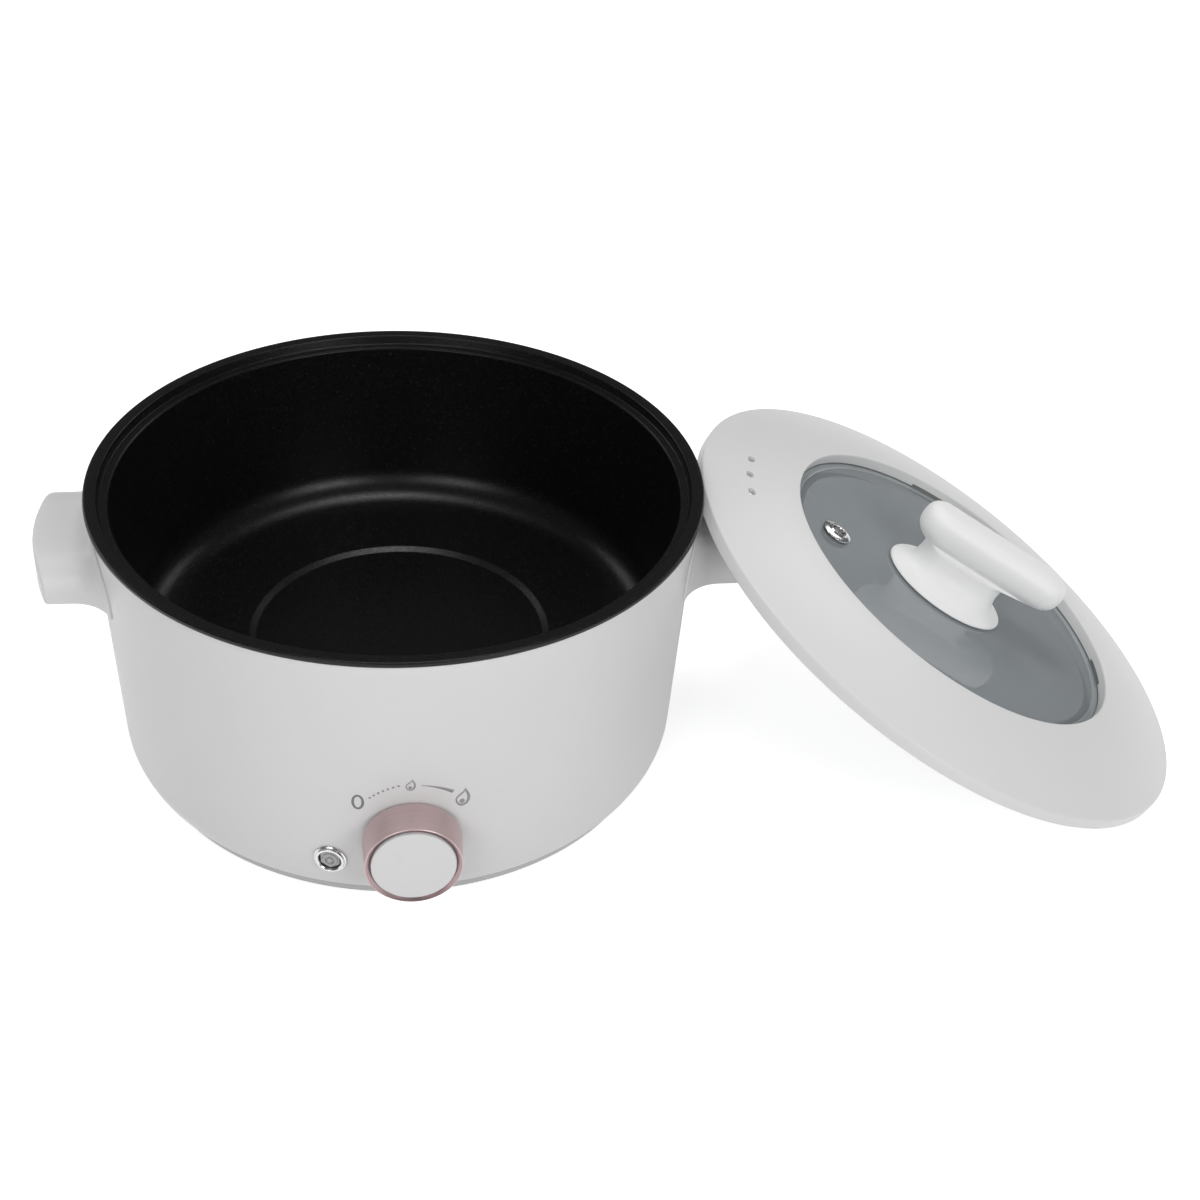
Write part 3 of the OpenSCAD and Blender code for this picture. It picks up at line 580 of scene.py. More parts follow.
def moulded(name, colour, shade, gloss, drift=0.06, grain=1700.0, bump=0.012, **plain):
    made, tree, shader = new_finish(name, **plain)
    add_group(tree, MOULDED, shader, bump=bump, Colour=(*colour, 1), Shade=(*shade, 1), Grain=grain,
              Gloss=gloss, Gloss_Drift=drift)
    return made


def brushed(name, colour, shade, gloss, stretch, drift=0.12, centre=(0, 0, 0), bump=0.004, metal=1.0):
    made, tree, shader = new_finish(name, Metallic=metal)
    add_group(tree, BRUSHED, shader, stretch=stretch, centre=centre, bump=bump, Colour=(*colour, 1),
              Shade=(*shade, 1), Gloss=gloss, Gloss_Drift=drift)
    return made


def bright(name, colour, gloss, film, **plain):
    made, tree, shader = new_finish(name, Base_Color=(*colour, 1), **plain)
    add_group(tree, FILM, shader, Gloss=gloss, Film=film)
    return made


def nonstick():
    made, tree, shader = new_finish("black_nonstick_coat", Specular_IOR_Level=0.3)
    add_group(tree, COAT, shader, bump=0.06, Colour=(0.0035, 0.0035, 0.0035, 1), Speck=(0.06, 0.06, 0.06, 1),
              Gloss=0.32, Gloss_Drift=0.2)
    return made


def grey(level, tint=(1, 1, 1)):
    return tuple(level * t for t in tint)


GLASS_IOR, LENS_IOR = 1.52, 1.49
SEAL_TINT = (0.96, 1.03, 1)
FINISHES = {
    "white_plastic": moulded("white_moulded_plastic", grey(0.74), grey(0.715), 0.40),
    "nonstick_aluminium": nonstick(),
    "white_silicone": moulded("white_gasket", grey(0.78), grey(0.74), 0.5, grain=2600.0),
    "grey_plastic": moulded("pale_grey_base", grey(0.55, (1, 1.005, 1)), grey(0.52), 0.45),
    "black_rubber": moulded("foot_rubber", grey(0.02), grey(0.03), 0.75, grain=2200.0, bump=0.02),
    "grey_silicone": moulded("grey_seal", grey(0.24, SEAL_TINT), grey(0.21, SEAL_TINT), 0.5),
    "steel": brushed("plain_steel", grey(0.55, (1, 0.98, 0.95)), grey(0.45), 0.32, (900, 900, 120)),
    "aluminium": moulded("cast_aluminium", grey(0.62), grey(0.52), 0.45, grain=1200.0, bump=0.03,
                         Metallic=1.0),
    "tube_sheath": moulded("heated_sheath", (0.16, 0.15, 0.14), (0.10, 0.10, 0.10), 0.5, Metallic=0.8),
    "ceramic": moulded("thermostat_ceramic", (0.62, 0.56, 0.45), (0.55, 0.49, 0.4), 0.6),
    "chrome": bright("bright_chrome", grey(0.64), 0.2, 0.06, Metallic=1.0),
    "clear_plastic": bright("frosted_lens", grey(0.5), 0.2, 0.1, Transmission_Weight=0.12, IOR=LENS_IOR),
    "black_plastic": moulded("black_moulded_plastic", grey(0.018), grey(0.026), 0.42),
    "brass": brushed("pin_brass", (0.66, 0.47, 0.22), (0.56, 0.38, 0.17), 0.28, (300, 900, 900)),
    "rose_metal": brushed("rose_satin_metal", (0.66, 0.505, 0.51), (0.60, 0.455, 0.46), 0.40, (60, 3400, 60),
                          centre=(0, 0, KNOB_Z * MM), metal=0.6),
    "smoked_glass": bright("smoked_glass", (0.345, 0.374, 0.389), 0.03, 0.05, Transmission_Weight=0.45,
                           IOR=GLASS_IOR),
}
# The knob ring's inner bevel: polished rose metal, its colour darkened as painted shade in the groove.
ROSE_BEVEL_SHADE = bright("polished_rose_bevel_painted_shade", (0.34, 0.25, 0.257), 0.3, 0.06, Metallic=1.0)
# The glass's border: its top painted paler and made less clear, as painted light on the retaining ring that
# shows through it.
GLASS_BAND = bright("smoked_glass_border_painted_light", (0.35, 0.382, 0.396), 0.08, 0.05, Transmission_Weight=0.1,
                    IOR=GLASS_IOR)
INK = moulded("grey_ink", grey(0.36), grey(0.32), 0.5, bump=0.0)
# The grip is the same white plastic as the lid frame; its finish is painted lighter to make up for the shade
# it gets.
GRIP_LIT_WHITE = moulded("grip_white_painted_light", grey(0.9), grey(0.885), 0.52)
DARK_INK = moulded("dark_ink", grey(0.22), grey(0.19), 0.5, bump=0.0)

for node in frame["nodes"].values():
    for holder in node.material_slots:
        holder.material = FINISHES[holder.material.name.split(".")[0]]

# ---- The pot ----


def shell_foot(inset):
    """The rounded foot of the shell, from the end of its straight side down to its end, moved inwards."""
    lean = degrees(atan(DRAFT))
    centre_z = SHELL_LOW.z + FOOT_CURVE * sin(radians(FOOT_SWEEP))
    joint = centre_z - FOOT_CURVE * sin(radians(lean))
    centre_r = wall_r(joint) - FOOT_CURVE * cos(radians(lean))
    return arc((centre_r, centre_z), FOOT_CURVE - inset, -lean, -CUT_SWEEP, FOOT_STEPS)


def make_shell():
    """The white outer shell, open at the top and the foot, with openings for the inlet and the lamp."""
    lip, lamp_hole_r, lamp_hole_end = 7.4, 5.6, 10
    inlet_half, inlet_near, inlet_far, inlet_low, inlet_high = 16.6, 110, 150, 20.9, 45.1
    outside, inside = shell_foot(0), shell_foot(SHELL_WALL)
    foot_r = outside[-1][0]
    foot_in = foot_r - lip
    outline = [(SHELL_TOP_R, SHELL_TOP, 0.5)] + outside[:-1]
    outline += [(foot_r, SHELL_FOOT, 0.3), (foot_in, SHELL_FOOT), (foot_in, SHELL_FOOT + SHELL_WALL)]
    outline += inside[::-1] + [(SHELL_TOP_R - SHELL_WALL, SHELL_TOP)]
    piece = turned("shell", outline)
    inlet = block("inlet_opening", (-inlet_half, inlet_near, inlet_low), (inlet_half, inlet_far, inlet_high))
    lamp = rod("lamp_opening", lamp_hole_r, (0, 0, -lamp_hole_end), (0, 0, lamp_hole_end))
    cut(piece, join([inlet, place(lamp, LAMP)]))
    return fit(piece, "cooker", "white_plastic", "outer_shell")


def make_base():
    """The pale base cover, its ledge drawn up and out to the shell's foot, so that it shows as a band."""
    base_r, ledge = node_box("base_cover")[1].x, SHELL_LOW.z - 0.4
    ledge_r, side_r = shell_foot(0)[-1][0] - 0.7, base_r + 0.5
    near, rim = 0.1, 1.5
    piece = copied("base_cover", "pale_base_cover")
    for low, high, reach in ((ledge - near, ledge + near, ledge_r), (0, ledge - 2 * near, side_r)):
        choose(piece, "VERT", lambda at, v: low < at.z < high and at.xy.length > base_r - rim)
        bpy.ops.transform.resize(value=(reach / base_r, reach / base_r, 1), center_override=(0, 0, 0))
    choose(piece, "VERT", lambda at, v: abs(at.z - ledge) < near)
    move((0, 0, FOOT_LIFT * MM))
    fit(soften(end(piece), 0.3, angle=50, segments=2), "cooker", "grey_plastic", "base_cover")


def make_vessel():
    """The black cooking vessel: flat rim, ledge for the lid, rounded wall foot and sunken disc."""
    floor, disc_drop, disc_low_r, disc_high_r = 57, 1.6, 68.4, 71.7
    fillet, fillet_steps, wall_lean = 16, 16, 4
    wall_low, wall_top, metal = RIM_R - 15, RIM_R - 10.8, 2.3
    ledge, ledge_in, ledge_out = POT_H - 4.4, RIM_R - 10.2, RIM_R - 6.8
    rim_in, rim_under, rim_foot = RIM_R - 5.8, POT_H - 2.5, RIM_R - 4.8
    pad_r, pad_slope, pad = 96, 1.5, POT_LOW.z
    centre = (wall_low - fillet, floor + fillet)
    inside = [(0, floor - disc_drop), (disc_low_r, floor - disc_drop, 2), (disc_high_r, floor, 2)]
    inside += arc(centre, fillet, -90, -wall_lean, fillet_steps)
    inside += [(wall_top, ledge - 0.8, 0.5), (ledge_in, ledge, 0.35), (ledge_out, ledge + 0.2, 0.5),
               (rim_in, POT_H - 0.05, 0.6), (RIM_R, POT_H, 0.9)]
    outside = [(RIM_R, rim_under, 0.7), (rim_foot, rim_under), (rim_foot, ledge - metal),
               (wall_top + metal, ledge - metal - 1)]
    outside += arc(centre, fillet + metal, -wall_lean, -90, fillet_steps)
    outside += [(pad_r + pad_slope, floor - metal), (pad_r, pad), (0, pad)]
    fit(turned("vessel", inside + outside), "cooker", "nonstick_aluminium", "inner_pot")


def make_rim_gasket():
    """The thin white line between the vessel's rim and the shell."""
    low, high = node_box("rim_gasket")
    inner, outer, edge = high.x - 1.9, RIM_R - 0.3, 0.3
    outline = [(outer, high.z, edge), (outer, low.z, edge), (inner, low.z), (inner, high.z)]
    fit(turned("rim_seal_line", outline), "cooker", "white_silicone", "rim_gasket")


# ---- Handles ----
HANDLE_REACH = node_box("handle_right")[1].x
HANDLE_W = 77
HANDLE_LOW, HANDLE_TOP = 105.4, 123
HANDLE_END_R = 106
HANDLE_WALL = 2.6
# Roundings of the top's sides, the outer end and the underside
HANDLE_ROUND, HANDLE_EDGE, UNDER_EDGE = 16.6, 1.3, 0.8
# The hollow stops this far from the shell, and the ear's root is cut to the shell with this seam
HOLLOW_GAP, SEAM = 4, 0.1
# The flared root: how far it widens, how much it grows up and down for that, its length and edge
FLARE, FLARE_RISE, FLARE_LENGTH, FLARE_EDGE = 9, 0.3, 13, 0.9
BURIED = 8
RIB_YS, RIB_HALF, RIB_DEEP, RIB_CLEAR = (-30, -10, 10, 30), 0.9, 8, 0.5
SCREW_Y, SCREW_Z, BOSS_R, BOSS_END = 20, 114, 4, 152
# Steps across an ear, and degrees from ring to ring round its end and along its flare
ACROSS, END_STEP, FLARE_STEP = 24, 18, 10


def crest(y, half, top, edge):
    """Height of a handle's top at y: flat, then a quarter circle down each edge."""
    over = max(0, abs(y) - half + edge)
    return top - edge + sqrt(max(0, edge ** 2 - over ** 2))


def on_wall(y, z, distance):
    return sqrt((wall_r(z) + distance) ** 2 - y ** 2)


def on_end(y, distance):
    return HANDLE_REACH - HANDLE_END_R + sqrt(HANDLE_END_R ** 2 - y ** 2) - distance


def handle_ring(half, low, top, edge, distance, at_end):
    """Points across a handle's underside and back over its top, at a distance from the wall or the end."""
    ys = [half * sin(pi * (i / ACROSS - 0.5)) for i in range(ACROSS + 1)]
    ring = [(y, low - crest(y, half, 0, UNDER_EDGE)) for y in ys]
    ring += [(y, crest(y, half, top, edge)) for y in reversed(ys)]
    return [(on_end(y, distance) if at_end else on_wall(y, z, distance), y, z) for y, z in ring]


def flared_ring(flare, distance):
    """Points round the root where it is wider by flare on each side, at a distance from the wall."""
    rise = FLARE_RISE * flare
    return handle_ring(HANDLE_W / 2 + flare, HANDLE_LOW - rise, HANDLE_TOP + rise, HANDLE_ROUND, distance,
                       False)


def handle_body():
    """The solid ear: rounded outer end, straight body and a root that flares out onto the wall."""
    rings = []
    for angle in range(0, 91, END_STEP):
        inset = HANDLE_EDGE * (1 - sin(radians(angle)))
        back = HANDLE_EDGE * (1 - cos(radians(angle)))
        rings.append(handle_ring(HANDLE_W / 2 - inset, HANDLE_LOW + inset, HANDLE_TOP - inset,
                                 HANDLE_ROUND - inset, back, True))
    for angle in range(90, -1, -FLARE_STEP):
        flare = FLARE * (1 - sin(radians(angle)))
        rings.append(flared_ring(flare, FLARE_EDGE + FLARE_LENGTH * (1 - cos(radians(angle)))))
    rings.append(flared_ring(FLARE, -BURIED))
    return lofted("handle_right_ear", rings)


def handle_hollow():
    """The finger hollow's shape, open below."""
    half, top, edge = HANDLE_W / 2 - HANDLE_WALL, HANDLE_TOP - HANDLE_WALL, HANDLE_ROUND - HANDLE_WALL
    below = HANDLE_LOW - 10
    return lofted("hollow_tool", [handle_ring(half, below, top, edge, HANDLE_WALL, True),
                                  handle_ring(half, below, top, edge, HOLLOW_GAP, False)])


def make_handles():
    """Both ears, each hollow below, with ribs and screw bosses inside and cut to the shell's wall."""
    piece = cut(handle_body(), handle_hollow())
    low, high = HANDLE_LOW - 20, HANDLE_TOP + 20
    low_r, high_r = wall_r(low) + SEAM, wall_r(high) + SEAM
    cut(piece, turned("wall_tool", [(0, high), (high_r, high), (low_r, low), (0, low)]))
    inside = []
    for y in RIB_YS:
        top = crest(abs(y) + RIB_HALF, HANDLE_W / 2, HANDLE_TOP, HANDLE_ROUND) - RIB_CLEAR
        start = (on_wall(y, top, HOLLOW_GAP - 1), y - RIB_HALF, top - RIB_DEEP)
        inside.append(block("rib", start, (on_end(y, HANDLE_WALL / 2), y + RIB_HALF, top), 0.3))
    for y in (-SCREW_Y, SCREW_Y):
        start = (on_wall(y, SCREW_Z, HOLLOW_GAP - 2), y, SCREW_Z)
        inside.append(rod("boss", BOSS_R, start, (BOSS_END, y, SCREW_Z), soft=0.4))
    join([piece] + inside)
    left = mirrored(piece, "handle_left_ear")
    fit(piece, "cooker", "white_plastic", "handle_right")
    fit(left, "cooker", "white_plastic", "handle_left")


# ---- Control knob: its frame's +Z points out along its axis, from the pot's axis ----
KNOB = shift(0, 0, KNOB_Z) @ turn_about("X", 90)
FACE_R = node_box("knob_face")[1].x


def make_knob_ring():
    """A rose metal ring, turned to a fine bevel at its front, whose inner faces are painted darker as shade
    in the groove.
    """
    back, front, deep = KNOB_BACK, KNOB_FRONT, KNOB_FRONT - 4
    crest_r, rim_in, groove, bevel_deep = KNOB_R - 1.05, FACE_R + 0.15, 1.3, 3
    outline = [(KNOB_R, back + 0.35, 0.3), (crest_r + 0.35, front - 0.35, 0.15),
               (crest_r, front - 0.02, 0.15), (rim_in, front - groove, 0.12), (rim_in, deep),
               (KNOB_R - 2.6, deep), (KNOB_R - 1.6, back), (KNOB_R - 0.4, back, 0.2)]
    ring = fit(place(turned("knob_rose_ring", outline), KNOB), "knob", "rose_metal", "knob_ring")
    # The bevel's inner faces take the darker finish: painted shade in the groove.
    paint_faces(ring, ROSE_BEVEL_SHADE, lambda at, f: hypot(at.x, at.z - KNOB_Z) < crest_r - 0.05
                and at.y < bevel_deep - front)


def make_knob_face():
    """The knob's white face, slightly domed, with a shallow pointer groove."""
    base = KNOB_FRONT - 1.5
    edge, dome, crown = base + 1.6, base + 1.75, base + 1.8
    groove_size, groove_r, groove_turn = (4.6, 0.75, 0.35), 9.5, 135
    outline = [(0, base), (FACE_R, base), (FACE_R, edge, 0.7), (FACE_R * 0.6, dome, 60), (0, crown)]
    face = turned("knob_white_face", outline)
    bpy.ops.mesh.primitive_uv_sphere_add(segments=FEW_STEPS, ring_count=FEW_STEPS // 2, radius=MM)
    groove = begin("groove_tool")
    bpy.ops.transform.resize(value=groove_size)
    move((groove_r * MM, 0, crown * MM))
    cut(face, place(end(groove), turn_about("Z", groove_turn)))
    fit(place(face, KNOB), "knob", "white_plastic", "knob_face")


# ---- Indicator lamp: its frame's +Z points out of the shell's side ----
LAMP_Z, LAMP_TURN = 29, -15.5
LAMP = turn_about("Z", LAMP_TURN) @ shift(0, -wall_r(LAMP_Z), LAMP_Z) @ turn_about("X", 90)


def make_lamp_pieces():
    """A stepped chrome bezel round a six-sided frosted lens with a ringed middle."""
    inside, hole_r, lens_r, lens_top = -4, 5.5, 4.9, 0.9
    bezel = [(5.0, inside), (hole_r, inside), (hole_r, 0.15), (7.4, 0.15, 0.15), (7.3, 0.85, 0.3),
             (6.6, 1.25, 0.3), (6.35, 2.0, 0.35), (5.5, 2.25, 0.3), (5.0, 1.7, 0.3)]
    fit(place(turned("lamp_ring", bezel, SMALL_STEPS), LAMP), "cooker", "chrome", "lamp_bezel")
    hexagon = rod("lamp_lens_hexagon", lens_r, (0, 0, inside), (0, 0, lens_top), steps=6, soft=0.25)
    rings = [(0, 1.9), (1.1, 1.8, 0.15), (1.4, 0.85, 0.15), (2.0, 0.85, 0.15), (2.3, 1.9, 0.2),
             (3.3, 1.7, 0.3), (3.6, 0.3), (0, 0.3)]
    lens = join([hexagon, turned("lamp_lens_rings", rings, SMALL_STEPS)])
    fit(place(lens, LAMP), "cooker", "clear_plastic", "lamp_lens")


# ---- Printed heat scale: flat outlines round the knob's axis, drawn before the shell, laid on it ----
INK_LIFT, INK_THICK = 0.03, 0.06
MARK_PLANE = -2 * RIM_R
# Each mark's middle, width and height
OFF_MARK = ((-22.8, 21.2), 5.4, 8.6)
FLAMES = (((-0.4, 31.5), 4.4, 6.5), ((21.8, 21.7), 6.4, 10.3))
# The row of dots and the widening line, each from its first to its last angle in degrees
DOTS, DOT_R = 7, 0.55
DOT_ANGLES, DOT_REACHES = (126.3, 100.0), (29.9, 31.6)
LINE_STEPS, LINE_REACH = 12, 31.2
LINE_ANGLES, LINE_HALVES = (82.5, 55.7), (0.12, 0.9)
# Drawings one wide and one tall, their foot at 0
FLAME = [(0.15, 1.0), (0.30, 0.86), (0.43, 0.68), (0.5, 0.5), (0.47, 0.3), (0.33, 0.12), (0.12, 0.02),
         (-0.09, 0.0), (-0.3, 0.07), (-0.45, 0.22), (-0.5, 0.4), (-0.42, 0.55), (-0.25, 0.68), (-0.03, 0.8),
         (0.09, 0.9)]
FLAME_INSIDE = [(0.14, 0.83), (0.21, 0.74), (0.27, 0.62), (0.3, 0.48), (0.28, 0.34), (0.2, 0.2), (0.07, 0.13),
                (-0.09, 0.11), (-0.24, 0.16), (-0.34, 0.27), (-0.39, 0.4), (-0.32, 0.5), (-0.17, 0.6),
                (0.0, 0.7), (0.1, 0.77)]


def on_dial(angle, reach):
    """A place at an angle and a distance from the knob's axis, in the plane before the shell."""
    a = radians(angle)
    return (reach * cos(a), MARK_PLANE, KNOB_Z + reach * sin(a))


def scaled(points, centre, width, height):
    """Points of a unit drawing as places in the plane before the shell."""
    return [(centre[0] + x * width, MARK_PLANE, KNOB_Z + centre[1] + (z - 0.5) * height) for x, z in points]


def oval(steps, across=1.0, tall=1.0):
    turns = [tau * i / steps for i in range(steps)]
    return [(0.5 * across * sin(a), 0.5 + 0.5 * tall * cos(a)) for a in turns]


def ring_mark(name, drawing, hole, *size):
    """A flat mark between two unit drawings, at a middle, width and height."""
    return end(ribbon(name, scaled(drawing, *size), scaled(hole, *size), closed=True))


def on_shell(name, parts, ink, shell):
    """Joins flat marks, lays them on the shell and gives them the thickness of ink."""
    piece = join(parts)
    piece.name = piece.data.name = name
    modify(piece, "SHRINKWRAP", target=shell, wrap_method="PROJECT", use_project_y=True,
           use_positive_direction=True, use_negative_direction=False)
    place(piece, shift(0, -INK_LIFT, 0))
    modify(piece, "SOLIDIFY", thickness=INK_THICK * MM, offset=0)
    fit(piece, "cooker", "grey_plastic", paint=ink)


def make_marks(shell):
    """The off mark, seven dots, a small flame, a widening line and a large flame, round the knob."""
    zero_steps, dot_steps, hole, core_hole = 28, 14, (0.58, 0.74), (0.1, 0.1)
    core_x, core_z, core_w, core_h = 0.05, 0.22, 0.36, 0.26
    zero = ring_mark("zero", oval(zero_steps), oval(zero_steps, *hole), *OFF_MARK)
    on_shell("off_mark", [zero], DARK_INK, shell)
    parts = []
    for i in range(DOTS):
        t = i / (DOTS - 1)
        bpy.ops.mesh.primitive_circle_add(vertices=dot_steps, radius=DOT_R * MM, fill_type="NGON")
        where = shift(*on_dial(between(*DOT_ANGLES, t), between(*DOT_REACHES, t)))
        parts.append(place(end(begin("dot")), where @ turn_about("X", 90)))
    for centre, width, height in FLAMES:
        parts.append(ring_mark("flame", FLAME, FLAME_INSIDE, centre, width, height))
        core = (centre[0] - core_x * width, centre[1] - core_z * height)
        parts.append(ring_mark("flame_core", oval(dot_steps), oval(dot_steps, *core_hole), core,
                               core_w * width, core_h * height))
    ways = [i / LINE_STEPS for i in range(LINE_STEPS + 1)]
    sides = [[on_dial(between(*LINE_ANGLES, t), LINE_REACH + side * between(*LINE_HALVES, t)) for t in ways]
             for side in (-1, 1)]
    parts.append(end(ribbon("widening_line", *sides)))
    on_shell("heat_scale", parts, INK, shell)


# ---- The lid ----
# The curved top's first and last place, as radius and height, and its steps; the steps of its underside
TOP_OUT, TOP_IN, TOP_STEPS = (LID_R - 0.9, 0.5), (WINDOW_R + 1, LID_RISE - 0.1), 20
UNDER_STEPS = 12
NOTCH_HALF, NOTCH_DEEP, NOTCH_TOP = 10.5, 1.6, 8.1
VENT_R, VENT_REACH, VENT_ANGLES = 1.7, 116.6, (170.4, 178, 185.6)


def frame_top(t):
    """Top of the lid's frame, from its outer edge at t = 0 to the window's edge at t = 1."""
    radius, height = between(TOP_OUT[0], TOP_IN[0], t), between(TOP_OUT[1], TOP_IN[1], t)
    return radius, height + 4 * LID_BULGE * t * (1 - t)


def frame_tools():
    """The shapes of the four keyed notches in the window's wall and of the three oval steam vents."""
    tools = []
    for quarter in range(4):
        notch = block("notch", (WINDOW_R - 5, -NOTCH_HALF, GLASS_SEAT - 1),
                      (WINDOW_R + NOTCH_DEEP, NOTCH_HALF, NOTCH_TOP), 0.3)
        tools.append(place(notch, turn_about("Z", 90 * quarter)))
    for angle in VENT_ANGLES:
        vent = rod("vent", VENT_R, (0, 0, -20), (0, 0, 20), steps=32)
        mode("EDIT")
        for side in (-1, 1):
            choose(vent, "VERT", lambda at, v: at.y * side > 0)
            move((0, side * MM, 0))
        mode("OBJECT")
        tools.append(place(vent, turn_about("Z", angle) @ shift(VENT_REACH, 0, 0)))
    return join(tools)


def make_lid_frame():
    """The lid's white ring: curved top, skirt, locating rib, keyed notches round its window and vents."""
    skirt_in, skirt_top, seat_low, rib_wide = LID_R - 2.2, -1, 1.6, 2
    outline = [(LID_R, 0.14, 1.0)] + [frame_top(i / TOP_STEPS) for i in range(TOP_STEPS + 1)]
    outline += [(WINDOW_R, LID_RISE, 0.85), (WINDOW_R, GLASS_SEAT, 0.3), (GLASS_RIB_R, GLASS_SEAT),
                (GLASS_RIB_R, seat_low, 0.4), (GLASS_RIB_R + rib_wide, seat_low, 0.4)]
    under = [frame_top(i / UNDER_STEPS) for i in range(UNDER_STEPS - 2, 0, -1)]
    outline += [(r, z - LID_WALL) for r, z in under]
    outline += [(skirt_in, skirt_top), (skirt_in, -LID_SKIRT, 0.6), (LID_R, -LID_SKIRT, 0.7)]
    piece = cut(turned("lid_white_frame", outline), frame_tools())
    rib_in, rib_low = LOCATING_R - rib_wide, -10
    rib = turned("locating_rib", [(LOCATING_R, rib_low, 0.6), (LOCATING_R, 2.8), (rib_in, 3.2),
                                  (rib_in, rib_low, 0.6)])
    piece = place(join([piece, rib]), LID @ turn_about("Z", FRAME_TURN))
    fit(piece, "lid", "white_plastic", "lid_frame")


def make_window():
    """The smoked glass, gently crowned, with a raised border and the hole for its steam ferrule; the border's
    top is painted paler and less clear, as painted light on the retaining ring under it.
    """
    crown_steps, step, edge, hole_r = 15, 0.3, 0.8, 4.3
    radii = [GLASS_BAND_R * i / crown_steps for i in range(crown_steps + 1)]
    outline = [(r, glass_top(r)) for r in radii]
    outline += [(GLASS_BAND_R + step, glass_top(GLASS_BAND_R) + step, 0.15),
                (WINDOW_R - step, glass_top(WINDOW_R) + step), (WINDOW_R, glass_top(WINDOW_R))]
    outline += [(GLASS_EDGE_R, glass_top(GLASS_EDGE_R) - down, edge) for down in (0, GLASS_THICK)]
    outline += [(r, glass_top(r) - GLASS_THICK) for r in reversed(radii)]
    glass = turned("smoked_window", outline)
    cut(glass, rod("hole", hole_r, (-EYELET_R, 0, -10), (-EYELET_R, 0, 20)))
    fit(place(glass, LID @ turn_about("Z", GLASS_TURN)), "lid", "smoked_glass", "lid_glass")
    into_lid = LID.inverted()
    # The border's upward faces take the paler finish: painted light for the ring beneath.
    paint_faces(glass, GLASS_BAND, lambda at, f: (into_lid @ (at * MM)).xy.length > GLASS_BAND_R * MM
                and f.normal.dot(LID_AXIS) > 0.3)


def make_ferrule():
    """The rolled steel ferrule that lets steam through the glass."""
    low, bore = -7.4, 3.2
    outline = [(4.0, low, 0.2), (4.0, 0.7), (7.6, 0.7, 0.15), (7.5, 1.2, 0.3), (6.2, 1.55, 0.6),
               (5.0, 1.8, 0.5), (4.3, 2.6, 0.3), (3.4, 2.6, 0.35), (bore, 1.8, 0.4), (bore, low, 0.2)]
    where = LID @ turn_about("Z", GLASS_TURN) @ shift(-EYELET_R, 0, glass_top(EYELET_R))
    fit(place(turned("steam_ferrule", outline, SMALL_STEPS), where), "lid", "chrome", "steam_eyelet")


GRIP_L, GRIP_W, GRIP_T, GRIP_H, GRIP_OVERHANG = 81.6, 24.8, 17.6, 35.9, 8.2
FLANGE_L, FLANGE_W, NECK_R, NECK_STRAIGHT = 64.6, 50.8, 9.5, 13.2
# Places of the bar's sections, in degrees up its side, and how full its top, ends and sides are: 1 is round
BAR_ANGLES = (-68, -48, -28, -10, 8, 26, 43, 58, 71, 82)
BAR_TOP, BAR_ENDS, BAR_SIDES = 0.5, 0.7, 0.62
# The grip stands this far above the glass, on its gasket
GRIP_GAP = 0.4


def grip_sections():
    """Sections up the grip: half straight length, end's half length, half width, height, place along X."""
    end_x, side_y, under = FLANGE_L / 2, FLANGE_W / 2, GRIP_H - GRIP_T
    made = [(0, end_x - 0.5, side_y - 0.5, 0.01, 0), (0, end_x, side_y, 0.6, 0),
            (0, end_x - 0.3, side_y - 0.4, 1.5, 0), (0, end_x - 1.9, side_y - 2.2, 2.3, 0),
            (2, end_x - 6.1, side_y - 6, 3.2, 0), (6, 19.6, 15.2, 4.6, 0), (10, 13.9, 12.2, 6.6, 0),
            (12.5, 10.4, 10.2, 9.4, 0), (NECK_STRAIGHT, NECK_R, NECK_R, 13, 0),
            (NECK_STRAIGHT + 0.2, NECK_R, NECK_R, under - 1.6, 0),
            (NECK_STRAIGHT + 0.9, NECK_R + 0.2, NECK_R + 0.2, under - 0.4, 0.4)]
    for angle in BAR_ANGLES:
        up = radians(angle)
        rise = sin(up) if angle < 0 else sin(up) ** BAR_TOP
        made.append(((GRIP_L - GRIP_W) / 2, GRIP_W / 2 * cos(up) ** BAR_ENDS,
                     GRIP_W / 2 * cos(up) ** BAR_SIDES, GRIP_H - GRIP_T / 2 * (1 - rise), GRIP_OVERHANG))
    return made


def make_grip():
    """Turned round first, then each section is drawn out to its length: oval flange, neck and long bar."""
    sections = grip_sections()
    outline = [(0, 0)] + [(half_width, height) for _, _, half_width, height, _ in sections] + [(0, GRIP_H)]
    piece = turned("lid_long_grip", outline, FEW_STEPS)
    place(piece, turn_about("Z", 180 / FEW_STEPS))
    mode("EDIT")
    for straight, half_length, half_width, height, place_x in sections:
        for side in (-1, 1):
            choose(piece, "VERT", lambda at, v: abs(at.z - height) < 0.002 and at.x * side > 0.01)
            bpy.ops.transform.resize(value=(half_length / half_width, 1, 1), center_override=(0, 0, 0))
            move(((side * straight + place_x) * MM, 0, 0))
    choose(piece, "VERT", lambda at, v: at.z > GRIP_H - 0.001)
    move((GRIP_OVERHANG * MM, 0, 0))
    end(piece)
    modify(piece, "SUBSURF", levels=1, render_levels=1)
    bpy.ops.object.shade_smooth()
    where = LID @ shift(GRIP_X, 0, GLASS_MIDDLE + GRIP_GAP) @ turn_about("Z", GRIP_TURN)
    # The grip's paler white is painted light on the same white plastic.
    fit(place(piece, where), "lid", "white_plastic", "lid_grip", paint=GRIP_LIT_WHITE)


# ---- Screws that show, and the inlet ----


